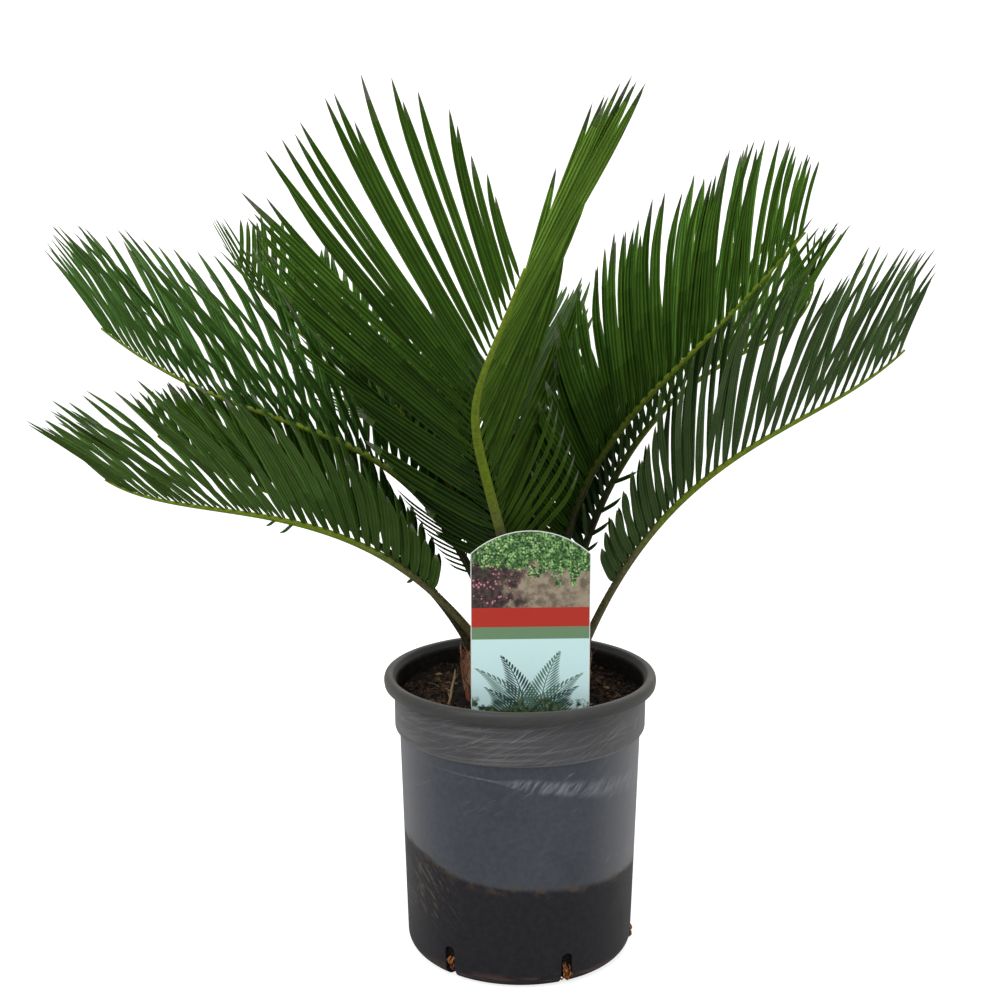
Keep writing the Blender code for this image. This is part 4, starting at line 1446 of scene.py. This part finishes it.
def spines(rib, pile, dice, wisp):  # short thorns where the stalk has no leaflets yet; wisp adds length
    for k in range(9):
        share = 0.085 + 0.0125 * k + dice.uniform(-0.003, 0.003)
        place, way, side, upper = rib.at(share)
        wide, _ = rib.girth(share)
        for hand in (-1, 1):
            long = (2.0 + 3.2 * (k / 8) ** 2 + wisp * (k / 8) ** 3) * dice.uniform(0.8, 1.2)
            root = place + side * hand * wide * 0.44 + upper * 0.6
            heading = unit(side * hand * 0.75 + way * 0.75 + upper * 0.35)
            path = [root - heading * 0.8, root + heading * long * 0.45,
                    root + heading * long + way * (0.5 + long * 0.06)]
            pile.add(*strand(path, np.array([0.75, 0.45, 0.08]), 5))


leafStations = np.array([0, 0.03, 0.07, 0.12, 0.20, 0.33, 0.46, 0.60, 0.72, 0.80, 0.87, 0.93, 0.975, 1])
leafWidths = np.array([0.34, 0.42, 0.60, 0.82, 0.97, 1, 1, 1, 0.97, 0.9, 0.74, 0.5, 0.24, 0])


def leafletPath(rib, share, hand, spread, wing, reach, hook, sag):  # the middle line of one leaflet
    place, way, side, upper = rib.at(share)
    wide, deep = rib.girth(share)
    start = place + side * (hand * wide * 0.34) + upper * deep * 0.26 - way * 0.8
    spread, wing = math.radians(spread), math.radians(wing)
    heading = (math.cos(spread) * way + math.sin(spread)
               * (math.cos(wing) * hand * side + math.sin(wing) * upper))
    t = leafStations[:, None]
    bow = 0.10 * t ** 3 + frond["hook"] * hook * np.maximum(0.0, t - 0.72) ** 2 / 0.08
    fall = sag * t * t * -skyward
    return start + reach * (heading * t + way * bow + fall) / np.linalg.norm(heading + 0.10 * way), way


def leafletLine(rib, zone, share, hand, rise, scale, chance):
    fan, outline, wing, turn = rib.hands[0 if hand < 0 else 1]
    spread = np.interp(zone, fanZones, fans[fan]) + chance["spread"]
    reach = rib.leaf * np.interp(zone, outlineZones, outlines[outline]) * scale * chance["length"]
    path, way = leafletPath(rib, share, hand, spread, wing + rise + chance["wing"], reach,
                            chance["hook"], chance["sag"])
    return path, way, reach, -hand * turn


def leafletSolid(path, way, width, twist, upper):
    ahead = unit(np.gradient(path, axis=0))
    across = unit(way - (ahead @ way)[:, None] * ahead)
    flat = np.cross(ahead, across)
    turn = np.radians(twist * np.minimum(1.0, leafStations / 0.12))[:, None]
    across, flat = (across * np.cos(turn) + flat * np.sin(turn),
                    flat * np.cos(turn) - across * np.sin(turn))
    if (flat @ upper).sum() < 0:
        across, flat = -across, -flat
    half = (width / 2 * leafWidths)[:, None]
    full = np.minimum(1.0, half / 2.2)
    # above, two rounded blades beside a sunken midrib; below, a keel and rolled margins
    section = [(-1.0, -0.5), (-0.62, 0.12), (-0.12, -0.2), (0.12, -0.2), (0.62, 0.12), (1.0, -0.5),
               (0.87, -1.0), (0.66, -0.5), (0.17, -0.55), (0.0, -1.1), (-0.17, -0.55), (-0.66, -0.5),
               (-0.87, -1.0)]
    rows = [path + across * half * x + flat * full * y for x, y in section]
    points = np.stack(rows, axis=1)[:-1].reshape(-1, 3)
    rings = len(path) - 1
    sides = len(section)
    faces = ringFaces(rings, sides, True, False)
    last = (rings - 1) * sides
    faces += [(last + k, last + (k + 1) % sides, rings * sides) for k in range(sides)]
    return np.vstack([points, path[-1]]), faces


def leafletSlots(steps, tipRows):
    # slots: the painted shade steps of the underside, of its ridges and of the upper side, the fading
    # end, the tip
    slots = []
    last = len(leafStations) - 2
    for r in range(last):
        left = last - 1 - r - tipRows
        under, ridge, upper = steps[r], 5 + steps[r], 10 + steps[r]
        row = [ridge, upper, ridge, upper, ridge, ridge, ridge, under, ridge, ridge, under, ridge, ridge]
        slots += row if left > 0 else [15 if left == 0 else 16] * len(row)
    return slots + [steps[0]] + [16] * 13


def probe(path, way, width):
    # a flat strip that stands for the leaflet when looking for clashes
    ahead = unit(path[-1] - path[0])
    across = unit(way - (ahead @ way) * ahead) * width / 2
    picks = path[[2, 5, 8, 12]]
    points = [Vector(p - across) for p in picks] + [Vector(p + across) for p in picks]
    return points, [(k, k + 1, 5 + k, 4 + k) for k in range(3)]


# what a leaflet tries in turn when its first place is taken: rise in degrees, share of length
tries = ((0, 1.0), (7, 1.0), (-7, 1.0), (14, 1.0), (-14, 1.0), (0, 0.8), (9, 0.8), (-9, 0.8),
         (0, 0.6), (0, 0.42))


def solidTrees(*names):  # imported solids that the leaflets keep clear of
    meshes = [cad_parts[name].data for name in names]
    return [BVHTree.FromPolygons([v.co / mm for v in mesh.vertices],
                                 [tuple(p.vertices) for p in mesh.polygons]) for mesh in meshes]


def rollDice(dice, k, hand, phase, scatter):  # how one leaflet differs from the rule
    sway = math.sin(1.05 * k + phase + hand + 0.9 * math.sin(0.37 * k + phase))
    wave = frond["lengthWave"] * math.sin(7.9 * k + hand)
    return {"spread": frond["group"] * sway + dice.gauss(0, frond["spreadScatter"]),
            "wing": dice.gauss(0, scatter),
            "length": 1 + wave + dice.gauss(0, frond["lengthScatter"]),
            "hook": dice.uniform(*frond["hookRange"]),
            "sag": dice.uniform(0.0, frond["sagMost"])}


def findRoom(rib, zone, share, hand, chance, widths, others):  # the first line that is clear
    widest, narrow = widths
    for rise, scale in tries:
        path, way, reach, twist = leafletLine(rib, zone, share, hand, rise, scale, chance)
        width = min(widest, narrow + frond["widthPerLength"] * reach)
        width *= np.interp(zone, frond["widthZones"], frond["widthShares"])
        strip = probe(path, way, width * frond["probeShare"])
        test = BVHTree.FromPolygons(*strip)
        if not any(test.overlap(other) for other in others):
            return path, way, width, twist, strip
    return None


def growWings(name, rib, dice, others):  # leaflets in pairs, a pile for each hand
    widest, narrow, scatter, _, least, stretch = frondLooks[name]
    leaves = {-1: Pile(), 1: Pile()}
    strips = Pile()
    leafy = frond["leafEnd"] - frond["leafStart"]
    pairs = round(rib.length * leafy / frond["spacing"])
    missing = 0
    phase = dice.uniform(0, 9)
    for k in range(pairs):
        zone = k / (pairs - 1)
        for hand in (-1, 1):
            share = frond["leafStart"] + leafy * zone
            share += hand * frond["pairShift"] * frond["spacing"] / rib.length
            share = min(share, frond["lastShare"])
            chance = rollDice(dice, k, hand, phase, scatter)
            shift = dice.uniform(-frond["stepScatter"], frond["stepScatter"])
            tipRows = dice.choice((0, 0, 0, 1))
            found = findRoom(rib, zone, share, hand, chance, (widest, narrow), others)
            if not found:
                missing += 1
                continue
            path, way, width, twist, strip = found
            points, faces = leafletSolid(path, way, width, twist, rib.at(share)[3])
            # painted shade: leaflets nearer the heart of the crown take darker shaded copies of their
            # colours
            far = np.linalg.norm(path - crownHeart, axis=1) / stretch
            steps = np.interp(far, shadeSteps, range(5)) + shift
            steps = np.clip(np.rint(steps), least, 4).astype(int).tolist()
            leaves[hand].add(points, faces, leafletSlots(steps, tipRows))
            strips.add(*strip)
    for share, hand, spread, wing, reach, width in strays.get(name, ()):
        path, way = leafletPath(rib, share, hand, spread, wing, reach, dice.uniform(1.5, 4.0), 0.0)
        # painted shade: stray leaflets take one fixed shaded step
        steps = [max(1, least)] * len(leafStations)
        leaves[hand].add(*leafletSolid(path, way, width, 15.0, rib.at(share)[3]), leafletSlots(steps, 1))
    print(name, pairs, "pairs", missing, "left out")
    return leaves, BVHTree.FromPolygons(np.vstack(strips.points).tolist(), strips.faces)


def makeFronds():
    # each leaf colour is made in five painted shade steps, darker towards the heart of the crown
    looks = {kind: [leafMaterial(f"{kind}{part}{step}", colour, share)
                    for part, colour in zip(("Under", "Ridge", "Upper"), colours)
                    for step, share in enumerate(shadeShares)] for kind, colours in leafKinds.items()}
    ends = [leafMaterial(name, colour) for name, colour in leafEnds.items()]
    stalks = [stalkMaterial(*given) for given in zip(("stalk", "stalkShaded"), frond["shades"])]
    ribs = {name: Rib(row, frondHands.get(name, plainHands), frond["stout"] if "front" in name else 1.0)
            for name, row in frondRows.items()}
    ribTrees = {name: BVHTree.FromPolygons(*ribMesh(rib)) for name, rib in ribs.items()}
    fixed = solidTrees("plant_label", "trunk", "pot")
    placed = []
    for number, (name, rib) in enumerate(ribs.items()):
        dice = random.Random(frond["seed"] + number)
        others = [tree for other, tree in ribTrees.items() if other != name] + placed + fixed
        leaves, strips = growWings(name, rib, dice, others)
        placed.append(strips)
        short = name[:8].replace("_", "")
        for hand, kind, wingName in zip((-1, 1), frondLooks[name][3], ("Right", "Left")):
            addPiece(short + wingName + "Wing", leaves[hand], looks[kind] + ends, [name], 50.0)
        stem = Pile()
        stem.add(*ribMesh(rib))
        spines(rib, stem, dice, frond["wispLength"] if name == frond["wispyFrond"] else 0.0)
        stalk = stalks[0 if short in frond["nearFronds"] else 1]
        addPiece(short + "Rib", stem, [stalk], sharp=60.0)


makeFronds()
print("fronds ready")


# roots that push out of the drainage slots

rootTufts = {
    "bearings": (-67.0, -127.0, -7.0),
    "counts": (16, 7, 9),
    "out": (81.5, 79.4, 80.6),
    "seed": 5,
    "wall": 74.0,
    "looks": {  # as for the soil
        "rootOrange": (rgb(120, 72, 38), rgb(176, 112, 62), 1.0, 0.8),
        "rootDark": (rgb(80, 46, 28), rgb(130, 84, 52), 1.0, 0.8),
    },
}


def makeRoots():
    dice = random.Random(rootTufts["seed"])
    wall = rootTufts["wall"]
    pile = Pile()
    for bearing, count, out in zip(rootTufts["bearings"], rootTufts["counts"], rootTufts["out"]):
        for _ in range(count):
            side = dice.uniform(-2.8, 2.8)
            low = dice.uniform(3.5, 10.0)
            tall = dice.uniform(4.0, 10.0)
            path = []
            for k in range(8):
                t = k / 7
                radius = wall + (out - wall) * math.sin(math.pi * min(1.0, t * 1.05)) ** 0.7
                swing = side + 1.2 * math.sin(4.0 * t + low)
                turn = bearing + math.degrees(swing / 80.0)
                path.append(spot(turn, radius, low + tall * t + dice.uniform(-0.3, 0.3)))
            pile.add(*strand(path, dice.uniform(0.45, 0.95), 6), dice.choice((0, 1)))
    addPiece("slotRoots", pile, earthMaterials(rootTufts, "rootOrange", "rootDark"))


makeRoots()
print("roots ready")
